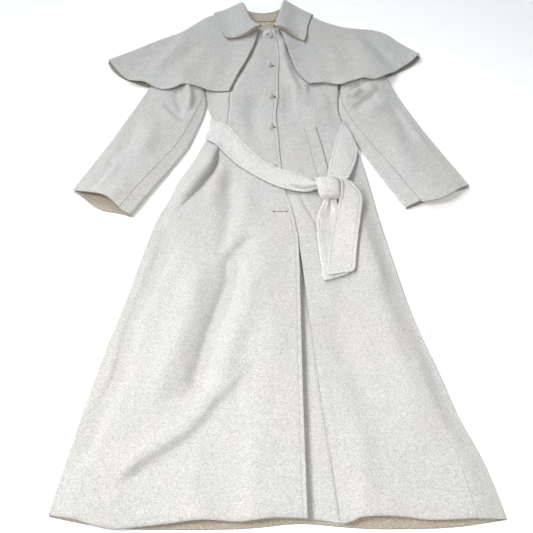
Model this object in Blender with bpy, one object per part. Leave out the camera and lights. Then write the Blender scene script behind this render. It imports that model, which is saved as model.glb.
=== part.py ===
"""A belted wool coat with a shoulder cape, laid flat on its back.

The floor is z = 0.  X runs across the coat, Y from the hem to the collar.  Tables are in
millimetres, in the laid-out coat's own plan: Y is 0 near the hem and the collar is at the top.
"right" and "left" are the wearer's, so the right front lies at -X.
"""
import math

import bmesh
import bpy
from mathutils import Vector

MM = 0.001
PLAN_MIDDLE = (11.19, 656.17)    # where the middle of the laid-out coat's box lies in the plan

CLOTH = 2.4                      # coating wool, one thickness
CAPE_CLOTH = 3.2                 # the cape is faced, so it is thicker
COLLAR_CLOTH = 3.2
BELT_CLOTH = 4.4                 # the belt is a turned tube pressed flat
SETTLE = 0.04                    # what the lowest turned edge reaches under its level
SEAM = 0.4                       # what parts two pieces at a seam, or two layers that touch
LAYER = CLOTH + SEAM

WOOL = (0.560, 0.545, 0.510, 1.0)
BELT_WOOL = (0.640, 0.625, 0.585, 1.0)
BUTTON_WOOL = (0.520, 0.490, 0.430, 1.0)


# ---------------------------------------------------------------- curves and heights

def slopes_of(keys, values):
    """The slope at each row of a table, gentle enough that the curve never swings past its rows."""
    last = len(keys) - 1
    chords = [(values[i + 1] - values[i]) / (keys[i + 1] - keys[i]) for i in range(last)]
    slopes = [chords[0]]
    for before, after in zip(chords, chords[1:]):
        same_way = before * after > 0
        slopes.append(2 * before * after / (before + after) if same_way else 0.0)
    return slopes + [chords[-1]]


def smooth(table):
    """A smooth function through the (key, value) rows of a table, held level past its ends."""
    rows = sorted(table)
    keys = [row[0] for row in rows]
    values = [row[1] for row in rows]
    slopes = slopes_of(keys, values)

    def at(key):
        if key <= keys[0]:
            return values[0]
        if key >= keys[-1]:
            return values[-1]
        i = max(j for j in range(len(keys) - 1) if keys[j] <= key)
        span = keys[i + 1] - keys[i]
        t = (key - keys[i]) / span
        return ((2 * t ** 3 - 3 * t ** 2 + 1) * values[i]
                + (t ** 3 - 2 * t ** 2 + t) * span * slopes[i]
                + (3 * t ** 2 - 2 * t ** 3) * values[i + 1]
                + (t ** 3 - t ** 2) * span * slopes[i + 1])
    return at


def path(points):
    """A smooth path through points, as a function of the share of its length."""
    spots = [Vector(p) for p in points]
    lengths = [0.0]
    for here, there in zip(spots, spots[1:]):
        lengths.append(lengths[-1] + (there - here).length)
    shares = [length / lengths[-1] for length in lengths]
    axes = [smooth(list(zip(shares, [spot[axis] for spot in spots]))) for axis in range(len(spots[0]))]
    return lambda share: Vector([axis(share) for axis in axes])


def ease(low, high, value):
    """0 below low, 1 above high, and a soft step between them."""
    t = min(max((value - low) / (high - low), 0.0), 1.0)
    return t * t * (3 - 2 * t)


def mix(a, b, share):
    return a + (b - a) * share


def shares(count):
    return [i / count for i in range(count + 1)]


def fold_height(x, y, folds):
    """The sum of soft ridges (height over 0) and troughs (under 0), each along its own line."""
    total = 0.0
    for x0, y0, x1, y1, half_width, height in folds:
        dx, dy = x1 - x0, y1 - y0
        length = math.hypot(dx, dy)
        along = ((x - x0) * dx + (y - y0) * dy) / length
        across = ((x - x0) * dy - (y - y0) * dx) / length
        fade = ease(-0.15 * length, 0.25 * length, along) * ease(-0.15 * length, 0.25 * length, length - along)
        total += height * fade * math.exp(-(across / half_width) ** 2)
    return total


# ---------------------------------------------------------------- solids from cloth walls

def material(name, colour):
    made = bpy.data.materials.new(name)
    made.use_nodes = True
    shader = made.node_tree.nodes["Principled BSDF"]
    shader.inputs["Base Color"].default_value = colour
    shader.inputs["Roughness"].default_value = 0.95
    shader.inputs["Metallic"].default_value = 0.0
    return made


def finish(name, mesh, colour):
    """Put a mesh in the scene as one named object with a material of its own."""
    mesh.shade_smooth()
    mesh.set_sharp_from_angle(angle=math.radians(50))
    piece = bpy.data.objects.new(name, mesh)
    piece.data.materials.append(material(name, colour))
    bpy.context.scene.collection.objects.link(piece)
    return piece


def wall(name, rows, thickness, colour=WOOL):
    """Cloth of one thickness about a middle surface, given as rows of points (x, y, z)."""
    across, along = len(rows[0]) - 1, len(rows) - 1
    grid = bmesh.new()
    bmesh.ops.create_grid(grid, x_segments=across, y_segments=along, size=1.0)
    for vert in grid.verts:
        column = round((vert.co.x + 1) / 2 * across)
        row = round((1 - vert.co.y) / 2 * along)
        x, y, z = rows[row][column]
        vert.co = Vector((x - PLAN_MIDDLE[0], y - PLAN_MIDDLE[1], z + SETTLE)) * MM
    mesh = bpy.data.meshes.new(name)
    grid.to_mesh(mesh)
    grid.free()
    piece = finish(name, mesh, colour)
    shell = piece.modifiers.new("thickness", "SOLIDIFY")
    shell.thickness = thickness * MM
    shell.offset = 0.0
    shell.use_even_offset = True
    return piece


# ---------------------------------------------------------------- the plan: outlines of the coat
# Each table's columns are y, x or x, y, as its name says.

RIGHT_OUTLINE_X = [  # y, x of the coat's edge on the wearer's right, shoulder to hem
    (1222, -190), (1092, -168), (962, -146), (937, -143), (904, -136), (870, -136), (832, -143),
    (801, -158), (756, -178), (712, -200), (657, -219), (603, -241), (524, -260), (426, -281),
    (294, -313), (158, -341), (0, -369)]
LEFT_OUTLINE_X = [   # y, x of the coat's edge on the wearer's left
    (1212, 207), (1094, 192), (976, 177), (935, 175), (895, 180), (850, 200), (797, 216), (714, 231),
    (631, 243), (501, 266), (376, 291), (340, 301), (261, 326), (165, 353), (121, 372), (71, 388),
    (0, 404)]
SIDE_SEAM_IN = [     # y, how far the left side seam lies in from the edge, on top
    (1222, 3), (370, 3), (330, 5), (273, 10), (206, 20), (156, 29), (108, 40), (46, 46), (0, 48)]
FRONT_EDGE_X = [     # y, x of the right front's buttonhole edge, which is on top
    (1222, 22), (1159, 30), (1100, 32), (1030, 29), (977, 29), (907, 23), (843, 27), (778, 31),
    (743, 35), (680, 41), (650, 49), (623, 56), (596, 61), (550, 67), (503, 68), (203, 67), (0, 68)]
LEFT_EDGE_X = [      # y, x of the left front's own edge: hidden down to y 580, then a pressed fold
    (1222, 6), (1100, 16), (900, 8), (743, 20), (650, 36), (600, 50), (572, 62), (519, 71), (402, 82),
    (309, 91), (189, 102), (96, 113), (0, 124)]
UNDERLAP_DEPTH = 66  # how far the strip under the right front reaches in from its edge
UNDERLAP_LAP = 30    # how far that strip runs on under the left front's fold

BACK_TOP_Y = [       # x, y of the back's neckline and shoulders
    (-190, 1222), (-130, 1248), (-84, 1270), (-50, 1262), (10, 1257), (70, 1262), (100, 1266),
    (150, 1238), (207, 1212)]
FRONT_TOP_Y = [      # x, y of the fronts' neckline and shoulders
    (-190, 1220), (-130, 1246), (-84, 1267), (-62, 1244), (-30, 1226), (10, 1218), (50, 1226),
    (78, 1244), (100, 1263), (150, 1236), (207, 1210)]
BACK_HEM_Y = [(-369, 4), (-278, -12), (-194, -17), (-44, -16), (56, -8), (131, -14), (223, -17),
              (341, -10), (404, 0)]
FRONT_HEM_Y = [(-369, 6), (-278, -4), (-194, -7), (-44, -5), (68, 0), (126, -4), (223, -6),
               (307, -5), (404, 2)]

SHOULDER_Y, SKIRT_Y = 1240, 0
BODY_ROWS_Y = [1240, 1200, 1160, 1120, 1075, 1030, 990, 955, 928, 905, 865, 824, 800, 776, 735, 695,
               650, 605, 555, 500, 440, 375, 310, 245, 180, 120, 60, 0]
TOP_BLEND, HEM_BLEND = 190, 120  # how far the shoulder line and the hem curve bend the rows

right_outline = smooth(RIGHT_OUTLINE_X)
left_outline = smooth(LEFT_OUTLINE_X)
side_seam_in = smooth(SIDE_SEAM_IN)
front_edge = smooth(FRONT_EDGE_X)
left_edge = smooth(LEFT_EDGE_X)

# Largest folds of the fronts: x, y at the upper end, x, y at the lower end, half width, height.
FRONT_FOLDS = [
    (-130, 760, -190, 560, 26, 5.0),     # side bulge under the belt
    (-64, 640, -76, 520, 26, -4.0),      # hollow at the hip
    (-60, 540, -166, 190, 24, -6.0),     # long trough down the right skirt
    (-20, 520, -110, 240, 30, 6.0),      # the ridge beside it
    (-14, 300, -262, 50, 22, -5.0),      # slanting trough near the hem
    (-60, 330, -200, 190, 20, 4.0),
    (-209, 523, -334, 65, 22, -5.0),     # trough along the side
    (-160, 480, -262, 150, 30, 5.0),
    (119, 400, 190, 130, 34, -4.0),      # faint trough down the left skirt
    (200, 480, 285, 120, 36, 5.0),
    (100, 640, 150, 420, 26, 4.0),
]
SKIRT_LOFT = 5.0                         # how high the skirt's front stands off its back, at most
EDGE_RADIUS = 2.0                        # of the middle of the cloth, where it turns at a side


def over_collar(x, y):
    """1 where the cape's back lies on the collar's back fall."""
    return ease(1120, 1225, y) * ease(215, 138, abs(x + 10))


CAPE_BACK_HEM_Y = [(-412, 1104), (-400, 1080), (-371, 1050), (-341, 1033), (-296, 1014), (-200, 1002),
                   (10, 998), (200, 1008), (324, 1058), (338, 1067), (373, 1089), (394, 1111),
                   (401, 1124)]
cape_back_hem = smooth(CAPE_BACK_HEM_Y)
COLLAR_LIFT = COLLAR_CLOTH + SEAM
CAPE_LIFT = CAPE_CLOTH + SEAM + 0.2
BELT_LIFT = BELT_CLOTH + SEAM
BELT_Y = (832, 897)                      # lower and upper edge of the belt behind the back


def over_cape(x, y):
    """1 where the coat lies on the cape's back."""
    below_hem = cape_back_hem(x) - y
    return ease(84, 24, below_hem)


def over_belt(y):
    return ease(BELT_Y[0] - 56, BELT_Y[0] - 8, y) * ease(BELT_Y[1] + 48, BELT_Y[1] + 8, y)


def ground(x, y):
    """The height of what the coat's back and sleeves lie on."""
    return (COLLAR_LIFT + 0.8) * over_collar(x, y) + CAPE_LIFT * over_cape(x, y)


def body_ground(x, y):
    return ground(x, y) + BELT_LIFT * over_belt(y)


def body_y(x, nominal, top, hem):
    """A body row's y at x: bent to the shoulder line near the top and to the hem at the bottom."""
    up = ease(SHOULDER_Y - TOP_BLEND, SHOULDER_Y, nominal)
    down = ease(HEM_BLEND, SKIRT_Y, nominal)
    return nominal + up * (top(x) - SHOULDER_Y) + down * hem(x)


def edge_x(outline, nominal, top, hem):
    """Where a bent body row meets an outline."""
    x = outline(nominal)
    for _ in range(3):
        x = outline(body_y(x, nominal, top, hem))
    return x


def skirt_loft(x, y):
    """The broad loft of the fronts over the back, none at the sides."""
    inset = min(x - right_outline(y), left_outline(y) - x)
    rise = ease(8, 70, inset)
    return rise * (SKIRT_LOFT * ease(830, 640, y) + fold_height(x, y, FRONT_FOLDS) * ease(800, 700, y))


UNDERLAP_LEVEL = 3.3                     # of the underlap over the back, middle to middle
LEFT_ON_LAP = UNDERLAP_LEVEL + LAYER - 2 * EDGE_RADIUS
RIGHT_ON_LAP = LEFT_ON_LAP + LAYER       # how far the overlaps in the middle lift each front


def front_left_height(x, y):
    """The middle of the left front, lifted where it lies on the underlap."""
    end_of_lap = left_edge(y) + UNDERLAP_LAP
    on_lap = ease(end_of_lap + 46, end_of_lap + 6, x)
    base = body_ground(x, y) + CLOTH / 2 + 2 * EDGE_RADIUS
    return base + LEFT_ON_LAP * on_lap + skirt_loft(x, y)


def front_right_height(x, y):
    """The middle of the right front, which lies on the underlap and the left front's edge."""
    lap_start = front_edge(y) - UNDERLAP_DEPTH
    on_lap = ease(lap_start - 60, lap_start - 10, x)
    base = body_ground(x, y) + CLOTH / 2 + 2 * EDGE_RADIUS
    return base + RIGHT_ON_LAP * on_lap + skirt_loft(x, y)


# ---------------------------------------------------------------- back and fronts

EDGE_ANGLES = (8, 38, 64, 90)


def edge_turn(outline_x, toward, floor, angle):
    """A point of the turned edge, from the floor layer (-90 degrees) to the top layer (90)."""
    middle = outline_x + toward * (CLOTH / 2 + EDGE_RADIUS)
    radians = math.radians(angle)
    return (middle - toward * EDGE_RADIUS * math.cos(radians),
            floor + CLOTH / 2 + EDGE_RADIUS * (1 + math.sin(radians)))


def build_back():
    """One piece, flat on what it lies on, that wraps the left edge up to the side seam."""
    top, hem = smooth(BACK_TOP_Y), smooth(BACK_HEM_Y)
    rows = []
    for nominal in BODY_ROWS_Y:
        right, left = edge_x(right_outline, nominal, top, hem), edge_x(left_outline, nominal, top, hem)
        turn_start = left - CLOTH / 2 - EDGE_RADIUS
        row = []
        for share in shares(9):
            x = mix(right + 1.4, turn_start, share)
            y = body_y(x, nominal, top, hem)
            row.append((x, y, body_ground(x, y) + CLOTH / 2))
        y = body_y(left, nominal, top, hem)
        floor = body_ground(left, y)
        for angle in (-45, 0, 45, 90):
            x, z = edge_turn(left, -1, floor, angle)
            row.append((x, y, z))
        inset = side_seam_in(nominal)
        for share in (0.5, 1.0):
            x = turn_start - inset * share
            row.append((x, y, front_left_height(x, y)))
        rows.append(row)
    return wall("back", rows, CLOTH)


def build_front_right():
    """The right front, on top, from the side to the buttonhole edge."""
    top, hem = smooth(FRONT_TOP_Y), smooth(FRONT_HEM_Y)
    rows = []
    for nominal in BODY_ROWS_Y:
        right, edge = edge_x(right_outline, nominal, top, hem), front_edge(nominal)
        y = body_y(right, nominal, top, hem)
        floor = body_ground(right, y)
        row = []
        for angle in EDGE_ANGLES[:-1]:
            x, z = edge_turn(right, 1, floor, angle)
            row.append((x, y, max(z, floor + CLOTH + SEAM)))
        turn_end = right + CLOTH / 2 + EDGE_RADIUS
        for share in shares(12):
            x = mix(turn_end, edge, share)
            y = body_y(x, nominal, top, hem)
            row.append((x, y, front_right_height(x, y)))
        rows.append(row)
    return wall("front_right", rows, CLOTH)


def build_front_left():
    """The left front, from its fold, or its hidden edge, to the side seam."""
    top, hem = smooth(FRONT_TOP_Y), smooth(FRONT_HEM_Y)
    rows = []
    for nominal in BODY_ROWS_Y:
        start = left_edge(nominal)
        left = edge_x(left_outline, nominal, top, hem)
        end = left - CLOTH / 2 - EDGE_RADIUS - side_seam_in(nominal) - SEAM
        row = []
        for share in shares(9):
            x = mix(start, end, share)
            y = body_y(x, nominal, top, hem)
            row.append((x, y, front_left_height(x, y)))
        rows.append(row)
    return wall("front_left", rows, CLOTH)


def build_underlap():
    """The left front's button strip, under the right front's edge and the left front's fold."""
    top, hem = smooth(FRONT_TOP_Y), smooth(FRONT_HEM_Y)
    rows = []
    for nominal in BODY_ROWS_Y:
        start, end = front_edge(nominal) - UNDERLAP_DEPTH, left_edge(nominal) + UNDERLAP_LAP
        row = []
        for share in shares(4):
            x = mix(start, end, share)
            y = body_y(x, nominal, top, hem) - 2 * ease(1100, 1240, nominal)
            row.append((x, y, body_ground(x, y) + CLOTH / 2 + UNDERLAP_LEVEL))
        rows.append(row)
    return wall("front_left_underlap", rows, CLOTH)


# ---------------------------------------------------------------- sleeves

# Stations from the armhole to the cuff.  Columns: outer edge x, y; inner edge x, y; how far the
# forearm seam lies in from the inner edge; edge radius; loft of the top over the under sleeve.
SLEEVE_RIGHT = [
    (-195.4, 1218, -148.0, 960, 22, 2.2, 0.0),
    (-240.0, 1118, -151.0, 927, 23, 2.4, 2.0),
    (-288.0, 1015, -163.0, 878, 23, 2.7, 4.0),
    (-325.0, 935, -187.0, 806, 25, 3.0, 5.0),
    (-362.0, 845, -217.0, 752, 28, 3.5, 6.0),
    (-397.0, 768, -252.0, 693, 33, 4.5, 6.0),
    (-441.0, 674, -303.0, 604, 38, 6.0, 9.0),
]
SLEEVE_LEFT = [
    (212.4, 1209, 178.8, 973, 20, 2.2, 0.0),
    (258.0, 1128, 183.0, 934, 22, 2.4, 2.0),
    (303.0, 1040, 198.0, 888, 23, 2.6, 4.0),
    (335.0, 960, 220.0, 838, 25, 2.8, 4.0),
    (372.0, 873, 236.0, 783, 28, 3.2, 5.0),
    (415.0, 785, 260.0, 721, 32, 3.8, 5.0),
    (464.0, 687, 315.0, 623, 33, 4.8, 6.0),
]
SLEEVE_STATIONS = 12
CUFF_SHARE = 0.978               # where the cuff's sides end; its under layer runs on to 1


class Sleeve:
    """A sleeve's smooth edges, seam, edge radius and loft, by the share of the way to the cuff."""

    def __init__(self, stations):
        steps = shares(len(stations) - 1)
        columns = [smooth(list(zip(steps, column))) for column in zip(*stations)]
        self.outer_x, self.outer_y, self.inner_x, self.inner_y, self.seam_in, self.radius, self.loft = columns
        self.side = 1 if stations[0][0] < stations[0][2] else -1

    def edge(self, share, inner):
        x, y = (self.inner_x, self.inner_y) if inner else (self.outer_x, self.outer_y)
        return Vector((x(share), y(share)))

    def outward(self, share, inner):
        """The edge's own outward direction in plan."""
        run = self.edge(share + 0.02, inner) - self.edge(share - 0.02, inner)
        toward = Vector((-run.y, run.x)).normalized() * self.side
        return toward if inner else -toward

    def turn(self, share, inner, angle):
        """A point of a turned edge, from the under layer (-90 degrees) to the top layer (90)."""
        radius = self.radius(share)
        radians = math.radians(angle)
        depth = CLOTH / 2 + radius * (1 - math.cos(radians))
        spot = self.edge(share, inner) - self.outward(share, inner) * depth
        height = radius * (1 + math.sin(radians))
        return (spot.x, spot.y, ground(spot.x, spot.y) + CLOTH / 2 + height)

    def rim(self, share):
        """The under layer's raw edge, under the turned outer edge."""
        spot = self.edge(share, False) - self.outward(share, False) * 0.8
        return (spot.x, spot.y, ground(spot.x, spot.y) + CLOTH / 2)

    def across(self, share, part, level, reach):
        """A point between the turned edges; level is 0 in the under layer and 1 in the top."""
        bulge = math.sin(math.pi * part) ** 2
        slid = share * (CUFF_SHARE + reach * bulge * ease(0.8, 1.0, share))
        inset = CLOTH / 2 + self.radius(slid)
        outer = self.edge(slid, False) - self.outward(slid, False) * inset
        inner = self.edge(slid, True) - self.outward(slid, True) * inset
        spot = outer + (inner - outer) * part
        height = (2 * self.radius(slid) + self.loft(slid) * bulge) * level
        return (spot.x, spot.y, ground(spot.x, spot.y) + CLOTH / 2 + height)

    def seam_part(self, share):
        width = (self.edge(share, True) - self.edge(share, False)).length
        return 1 - self.seam_in(share) / width


def build_sleeve_under(name, stations, hem_reach):
    """The under sleeve, which wraps the inner edge up to the forearm seam."""
    sleeve = Sleeve(stations)
    rows = []
    for share in shares(SLEEVE_STATIONS):
        at_edge = share * CUFF_SHARE
        row = [sleeve.rim(at_edge)]
        row += [sleeve.across(share, part, 0.0, hem_reach) for part in shares(6)]
        row += [sleeve.turn(at_edge, True, angle) for angle in (-45, 0, 45)]
        seam = sleeve.seam_part(at_edge)
        row += [sleeve.across(share, mix(1, seam, part), 1.0, 0.0) for part in shares(2)]
        rows.append(row)
    return wall(name, rows, CLOTH)


def build_sleeve_top(name, stations, hem_reach):
    """The top sleeve, from the outer edge, turned down there, to the forearm seam."""
    sleeve = Sleeve(stations)
    rows = []
    for share in shares(SLEEVE_STATIONS):
        at_edge = share * CUFF_SHARE
        row = []
        for angle in EDGE_ANGLES[:-1]:
            x, y, z = sleeve.turn(at_edge, False, angle)
            row.append((x, y, max(z, ground(x, y) + CLOTH + SEAM)))
        seam = sleeve.seam_part(at_edge) - 0.003
        row += [sleeve.across(share, seam * part, 1.0, hem_reach) for part in shares(7)]
        rows.append(row)
    return wall(name, rows, CLOTH)


# ---------------------------------------------------------------- shoulder cape

# Boundaries in plan, x, y: shoulder line and front edge run from the neck outward, the neck and
# the hem from the shoulder line to the front edge.
CAPE_RIGHT = {
    "shoulder": [(-96, 1281), (-137, 1277), (-154, 1272), (-185, 1249), (-226, 1216), (-283, 1185),
                 (-350, 1143), (-411, 1108)],
    "neck": [(-96, 1281), (-88, 1256), (-62, 1231), (-21, 1219)],
    "front": [(-21, 1219), (-29, 1166), (-50, 1098), (-79, 1029), (-93, 987)],
    "hem": [(-411, 1108), (-381, 1068), (-341, 1030), (-313, 1025), (-289, 1008), (-251, 990),
            (-232, 990), (-206, 1003), (-171, 1001), (-140, 990), (-93, 987)],
}
CAPE_LEFT = {
    "shoulder": [(104, 1280), (124, 1270), (150, 1253), (180, 1241), (222, 1229), (275, 1225),
                 (302, 1217), (322, 1205), (349, 1175), (400, 1129)],
    "neck": [(104, 1280), (92, 1256), (66, 1231), (30, 1217)],
    "front": [(30, 1217), (40, 1190), (51, 1155), (61, 1109), (80, 1050), (106, 1015)],
    "hem": [(400, 1129), (372, 1100), (337, 1072), (318, 1054), (297, 1040), (270, 1027), (238, 1025),
            (209, 1015), (189, 1009), (169, 1013), (149, 1018), (106, 1015)],
}
CAPE_TOP_Y = [(-411, 1109), (-350, 1143), (-283, 1185), (-226, 1215), (-185, 1248), (-160, 1262),
              (-140, 1260), (-118, 1254), (-90, 1252), (-50, 1252), (10, 1250), (70, 1252),
              (100, 1253), (124, 1254), (150, 1250), (180, 1240), (222, 1228), (275, 1224),
              (302, 1216), (322, 1204), (349, 1174), (400, 1128)]
# Flutes of the cape: upper end, lower end, half width, height.
CAPE_FLUTES = [
    (-200, 1170, -345, 1022, 16, 4.0), (-180, 1150, -300, 1000, 14, -2.0),
    (-150, 1150, -240, 985, 18, 4.0), (-120, 1120, -155, 985, 16, 3.0),
    (230, 1170, 292, 1030, 16, 4.0), (170, 1150, 188, 1005, 16, 3.0), (120, 1110, 145, 1012, 14, 2.0),
    (300, 1180, 352, 1080, 14, 3.0),
]
CAPE_EDGE_TURN = 14              # over how much the cape's front rounds down to its back
SLEEVE_RISE = 3.6                # room for the sleeve's own loft under the cape
right_sleeve_reach = smooth([(row[1], row[0]) for row in SLEEVE_RIGHT])
left_sleeve_reach = smooth([(row[1], row[0]) for row in SLEEVE_LEFT])


def stack_top(x, y):
    """The top of the fronts and the sleeves where the cape's front lies on them."""
    inside = (ease(-48, -4, x - right_sleeve_reach(y)) * ease(-48, -4, left_sleeve_reach(y) - x))
    edge = front_edge(y)
    on_right = ease(edge - UNDERLAP_DEPTH - 64, edge - UNDERLAP_DEPTH - 12, x)
    past_edge = ease(edge + 6, edge + 46, x)
    past_lap = ease(left_edge(y) + UNDERLAP_LAP + 2, left_edge(y) + UNDERLAP_LAP + 50, x)
    laps = on_right * mix(RIGHT_ON_LAP, LEFT_ON_LAP * (1 - past_lap), past_edge)
    on_sleeve = max(ease(-12, -60, x - right_outline(y)), ease(-12, -60, left_outline(y) - x))
    return ground(x, y) + inside * (2 * CLOTH + 1.6 + laps + SLEEVE_RISE * on_sleeve)


def cape_front_height(x, y):
    flutes = fold_height(x, y, CAPE_FLUTES)
    outside_loft = 2.2
    return stack_top(x, y) + SEAM + CAPE_CLOTH / 2 + outside_loft + max(flutes, -outside_loft)


def coons(shoulder, neck, front, hem):
    """The plan between four boundary paths: u from the neck to the hem, v down from the shoulder."""
    def at(u, v):
        corners = (shoulder(0) * ((1 - u) * (1 - v)) + shoulder(1) * (u * (1 - v))
                   + front(0) * ((1 - u) * v) + front(1) * (u * v))
        return shoulder(u) * (1 - v) + front(u) * v + neck(v) * (1 - u) + hem(v) * u - corners
    return at


def build_cape_front(name, boundaries):
    """One front of the cape, turned down along the shoulder to meet the cape's back."""
    plan = coons(*[path(boundaries[side]) for side in ("shoulder", "neck", "front", "hem")])
    rows = []
    for u in shares(11):
        start = plan(u, 0)
        length = (plan(u, 1) - start).length
        near = [0.0, 1.6, 5.0, CAPE_EDGE_TURN]
        steps = [distance / length for distance in near]
        steps += [mix(steps[-1], 1, share) for share in shares(9)[1:]]
        row = []
        for v in steps:
            spot = plan(u, v)
            open_share = min((spot - start).length / CAPE_EDGE_TURN, 1.0)
            rise = math.sqrt(1 - (1 - open_share) ** 2)
            low = ground(spot.x, spot.y) + CAPE_CLOTH + SEAM
            row.append((spot.x, spot.y, mix(low, cape_front_height(spot.x, spot.y), rise)))
        rows.append(row)
    return wall(name, rows, CAPE_CLOTH)


def build_cape_back():
    top, hem = smooth(CAPE_TOP_Y), smooth(CAPE_BACK_HEM_Y)
    rows = []
    for down in shares(9):
        row = []
        for share in shares(22):
            x = mix(-411, 400, share)
            y = mix(top(x), hem(x), down)
            row.append((x, y, COLLAR_LIFT * over_collar(x, y) + CAPE_CLOTH / 2))
        rows.append(row)
    return wall("cape_back", rows, CAPE_CLOTH)


# ---------------------------------------------------------------- collar

# Stations round the neck, from the right front over the back to the left front.  Columns: the roll
# line's x, y; the fall's edge x, y; how far the collar has turned under, in degrees (0 on the
# front, 180 behind); bow of the section; and the neckline's x, y, where the stand is sewn on.
COLLAR_STATIONS = [
    (-16, 1220, -103, 1179, 0, 10, -16, 1222),
    (-38, 1231, -115, 1199, 0, 5, -42, 1234),
    (-47, 1251, -126, 1226, 0, 0, -60, 1247),
    (-54, 1280, -133, 1252, 0, 0, -76, 1262),
    (-62, 1302, -138, 1268, 15, 0, -82, 1267),
    (-69, 1316, -143, 1284, 90, 0, -82, 1272),
    (-62, 1310, -133, 1268, 165, 0, -76, 1268),
    (-50, 1303, -104, 1244, 180, 0, -58, 1262),
    (-30, 1296, -58, 1232, 180, 0, -34, 1257),
    (-9, 1294, -9, 1229, 180, 0, -9, 1255),
    (14, 1298, 40, 1232, 180, 0, 18, 1256),
    (33, 1308, 86, 1243, 180, 0, 46, 1260),
    (44, 1321, 116, 1262, 165, 0, 82, 1264),
    (50, 1330, 127, 1278, 90, 0, 92, 1266),
    (46, 1313, 120, 1260, 15, 0, 92, 1262),
    (40, 1288, 114, 1238, 0, 0, 86, 1257),
    (35, 1264, 108, 1212, 0, 0, 66, 1244),
    (30, 1242, 103, 1190, 0, -5, 46, 1233),
    (20, 1221, 98, 1172, 0, -8, 20, 1221),
]
ROLL_DEPTH = 3.4                 # how far the roll stands off the fall
ROLL_RISE = 7.2                  # how high the roll stands off the cape
COLLAR_COLUMNS = 6
COLLAR_ROWS = 30


def collar_station(share):
    steps = shares(len(COLLAR_STATIONS) - 1)
    columns = [smooth(list(zip(steps, column)))(share) for column in zip(*COLLAR_STATIONS)]
    roll, edge, neckline = Vector(columns[0:2]), Vector(columns[2:4]), Vector(columns[6:8])
    return roll, edge, neckline, math.radians(columns[4]), columns[5]


def collar_frame(roll, edge, turned):
    """The fall's direction, and the direction from the fall to the stand behind it."""
    run = (edge - roll).normalized()
    inward = Vector((-run.y, run.x)) if run.x < 0 else Vector((run.y, -run.x))
    behind = Vector((inward.x * math.sin(turned), inward.y * math.sin(turned), -math.cos(turned)))
    return Vector((run.x, run.y, 0.0)), behind


def fall_height(spot, turned, rise):
    """The middle of the fall: on the cape in front, on the floor behind."""
    on_cape = cape_front_height(spot.x, spot.y) + CAPE_CLOTH / 2 + SEAM + COLLAR_CLOTH / 2 + rise
    return mix(on_cape, COLLAR_CLOTH / 2, (1 - math.cos(turned)) / 2)


def roll_start(roll, turned):
    return Vector((roll.x, roll.y, fall_height(roll, turned, ROLL_RISE)))


def build_collar_fall():
    rows = []
    for share in shares(COLLAR_ROWS):
        roll, edge, _, turned, bow = collar_station(share)
        run, behind = collar_frame(roll, edge, turned)
        start = roll_start(roll, turned)
        row = [start + run * ROLL_DEPTH + behind * 2 * ROLL_DEPTH,
               start + run * 0.29 * ROLL_DEPTH + behind * 1.71 * ROLL_DEPTH,
               start + behind * ROLL_DEPTH,
               start + run * 0.29 * ROLL_DEPTH + behind * 0.29 * ROLL_DEPTH]
        across = Vector((run.y, -run.x, 0.0))
        flat_start = start + run * ROLL_DEPTH
        for part in shares(COLLAR_COLUMNS):
            spot = mix(flat_start, Vector((edge.x, edge.y, 0.0)), part)
            spot += across * bow * math.sin(math.pi * part)
            spot.z = fall_height(spot, turned, mix(ROLL_RISE, 0.8, ease(0.0, 0.7, part)))
            row.append(spot)
        rows.append(row)
    return wall("collar_fall", rows, COLLAR_CLOTH)


def stand_foot_height(spot, turned):
    """The stand's foot rests on the fronts at the front of the neck and on the back behind."""
    on_front = front_right_height(spot.x, spot.y) if spot.x < 20 else front_left_height(spot.x, spot.y)
    on_back = body_ground(spot.x, spot.y) + CLOTH / 2
    behind = ease(math.radians(40), math.radians(140), turned)
    return mix(on_front, on_back, behind) + CLOTH + 1.0


STAND_ENDS = (0.095, 0.925)      # the stand ends short of the fall at both fronts
STAND_CLEAR = 1.5                # between the stand and the fall it is sewn to


def build_collar_stand():
    rows = []
    for share in shares(COLLAR_ROWS):
        roll, edge, neckline, turned, _ = collar_station(mix(*STAND_ENDS, share))
        run, behind = collar_frame(roll, edge, turned)
        top = roll_start(roll, turned) + run * (ROLL_DEPTH + STAND_CLEAR) + behind * 2 * ROLL_DEPTH
        foot = Vector((neckline.x, neckline.y, stand_foot_height(neckline, turned)))
        rows.append([mix(foot, top, part) for part in shares(3)])
    return wall("collar_stand", rows, CLOTH)


# ---------------------------------------------------------------- belt

BELT_RISE = 1.2                  # how far the belt stands off the fronts it lies on


def front_top(x, y):
    """The top of whichever front lies on top, easing down past the right front's edge."""
    edge = front_edge(y)
    past = ease(edge + 2, edge + 34, x)
    return mix(front_right_height(x, y), front_left_height(x, y), past) + CLOTH / 2


BELT_STAND_OFF = 3.6             # how far the belt's turn stands out from the coat's side


def belt_turn(x, y, toward, angle):
    """A point of the belt's turn round the coat's side edge; toward is 1 on the right side."""
    floor = body_ground(x, y)
    middle = floor + CLOTH / 2 + EDGE_RADIUS
    radius = (floor + 2 * CLOTH + 1.6 + BELT_RISE + BELT_CLOTH / 2) - middle
    radians = math.radians(angle)
    low = BELT_CLOTH / 2
    high = middle + radius
    centre_x = x + toward * (CLOTH / 2 + EDGE_RADIUS - BELT_STAND_OFF)
    height = mix(low, high, (1 + math.sin(radians)) / 2)
    return (centre_x - toward * radius * math.cos(radians), y, height)


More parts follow.
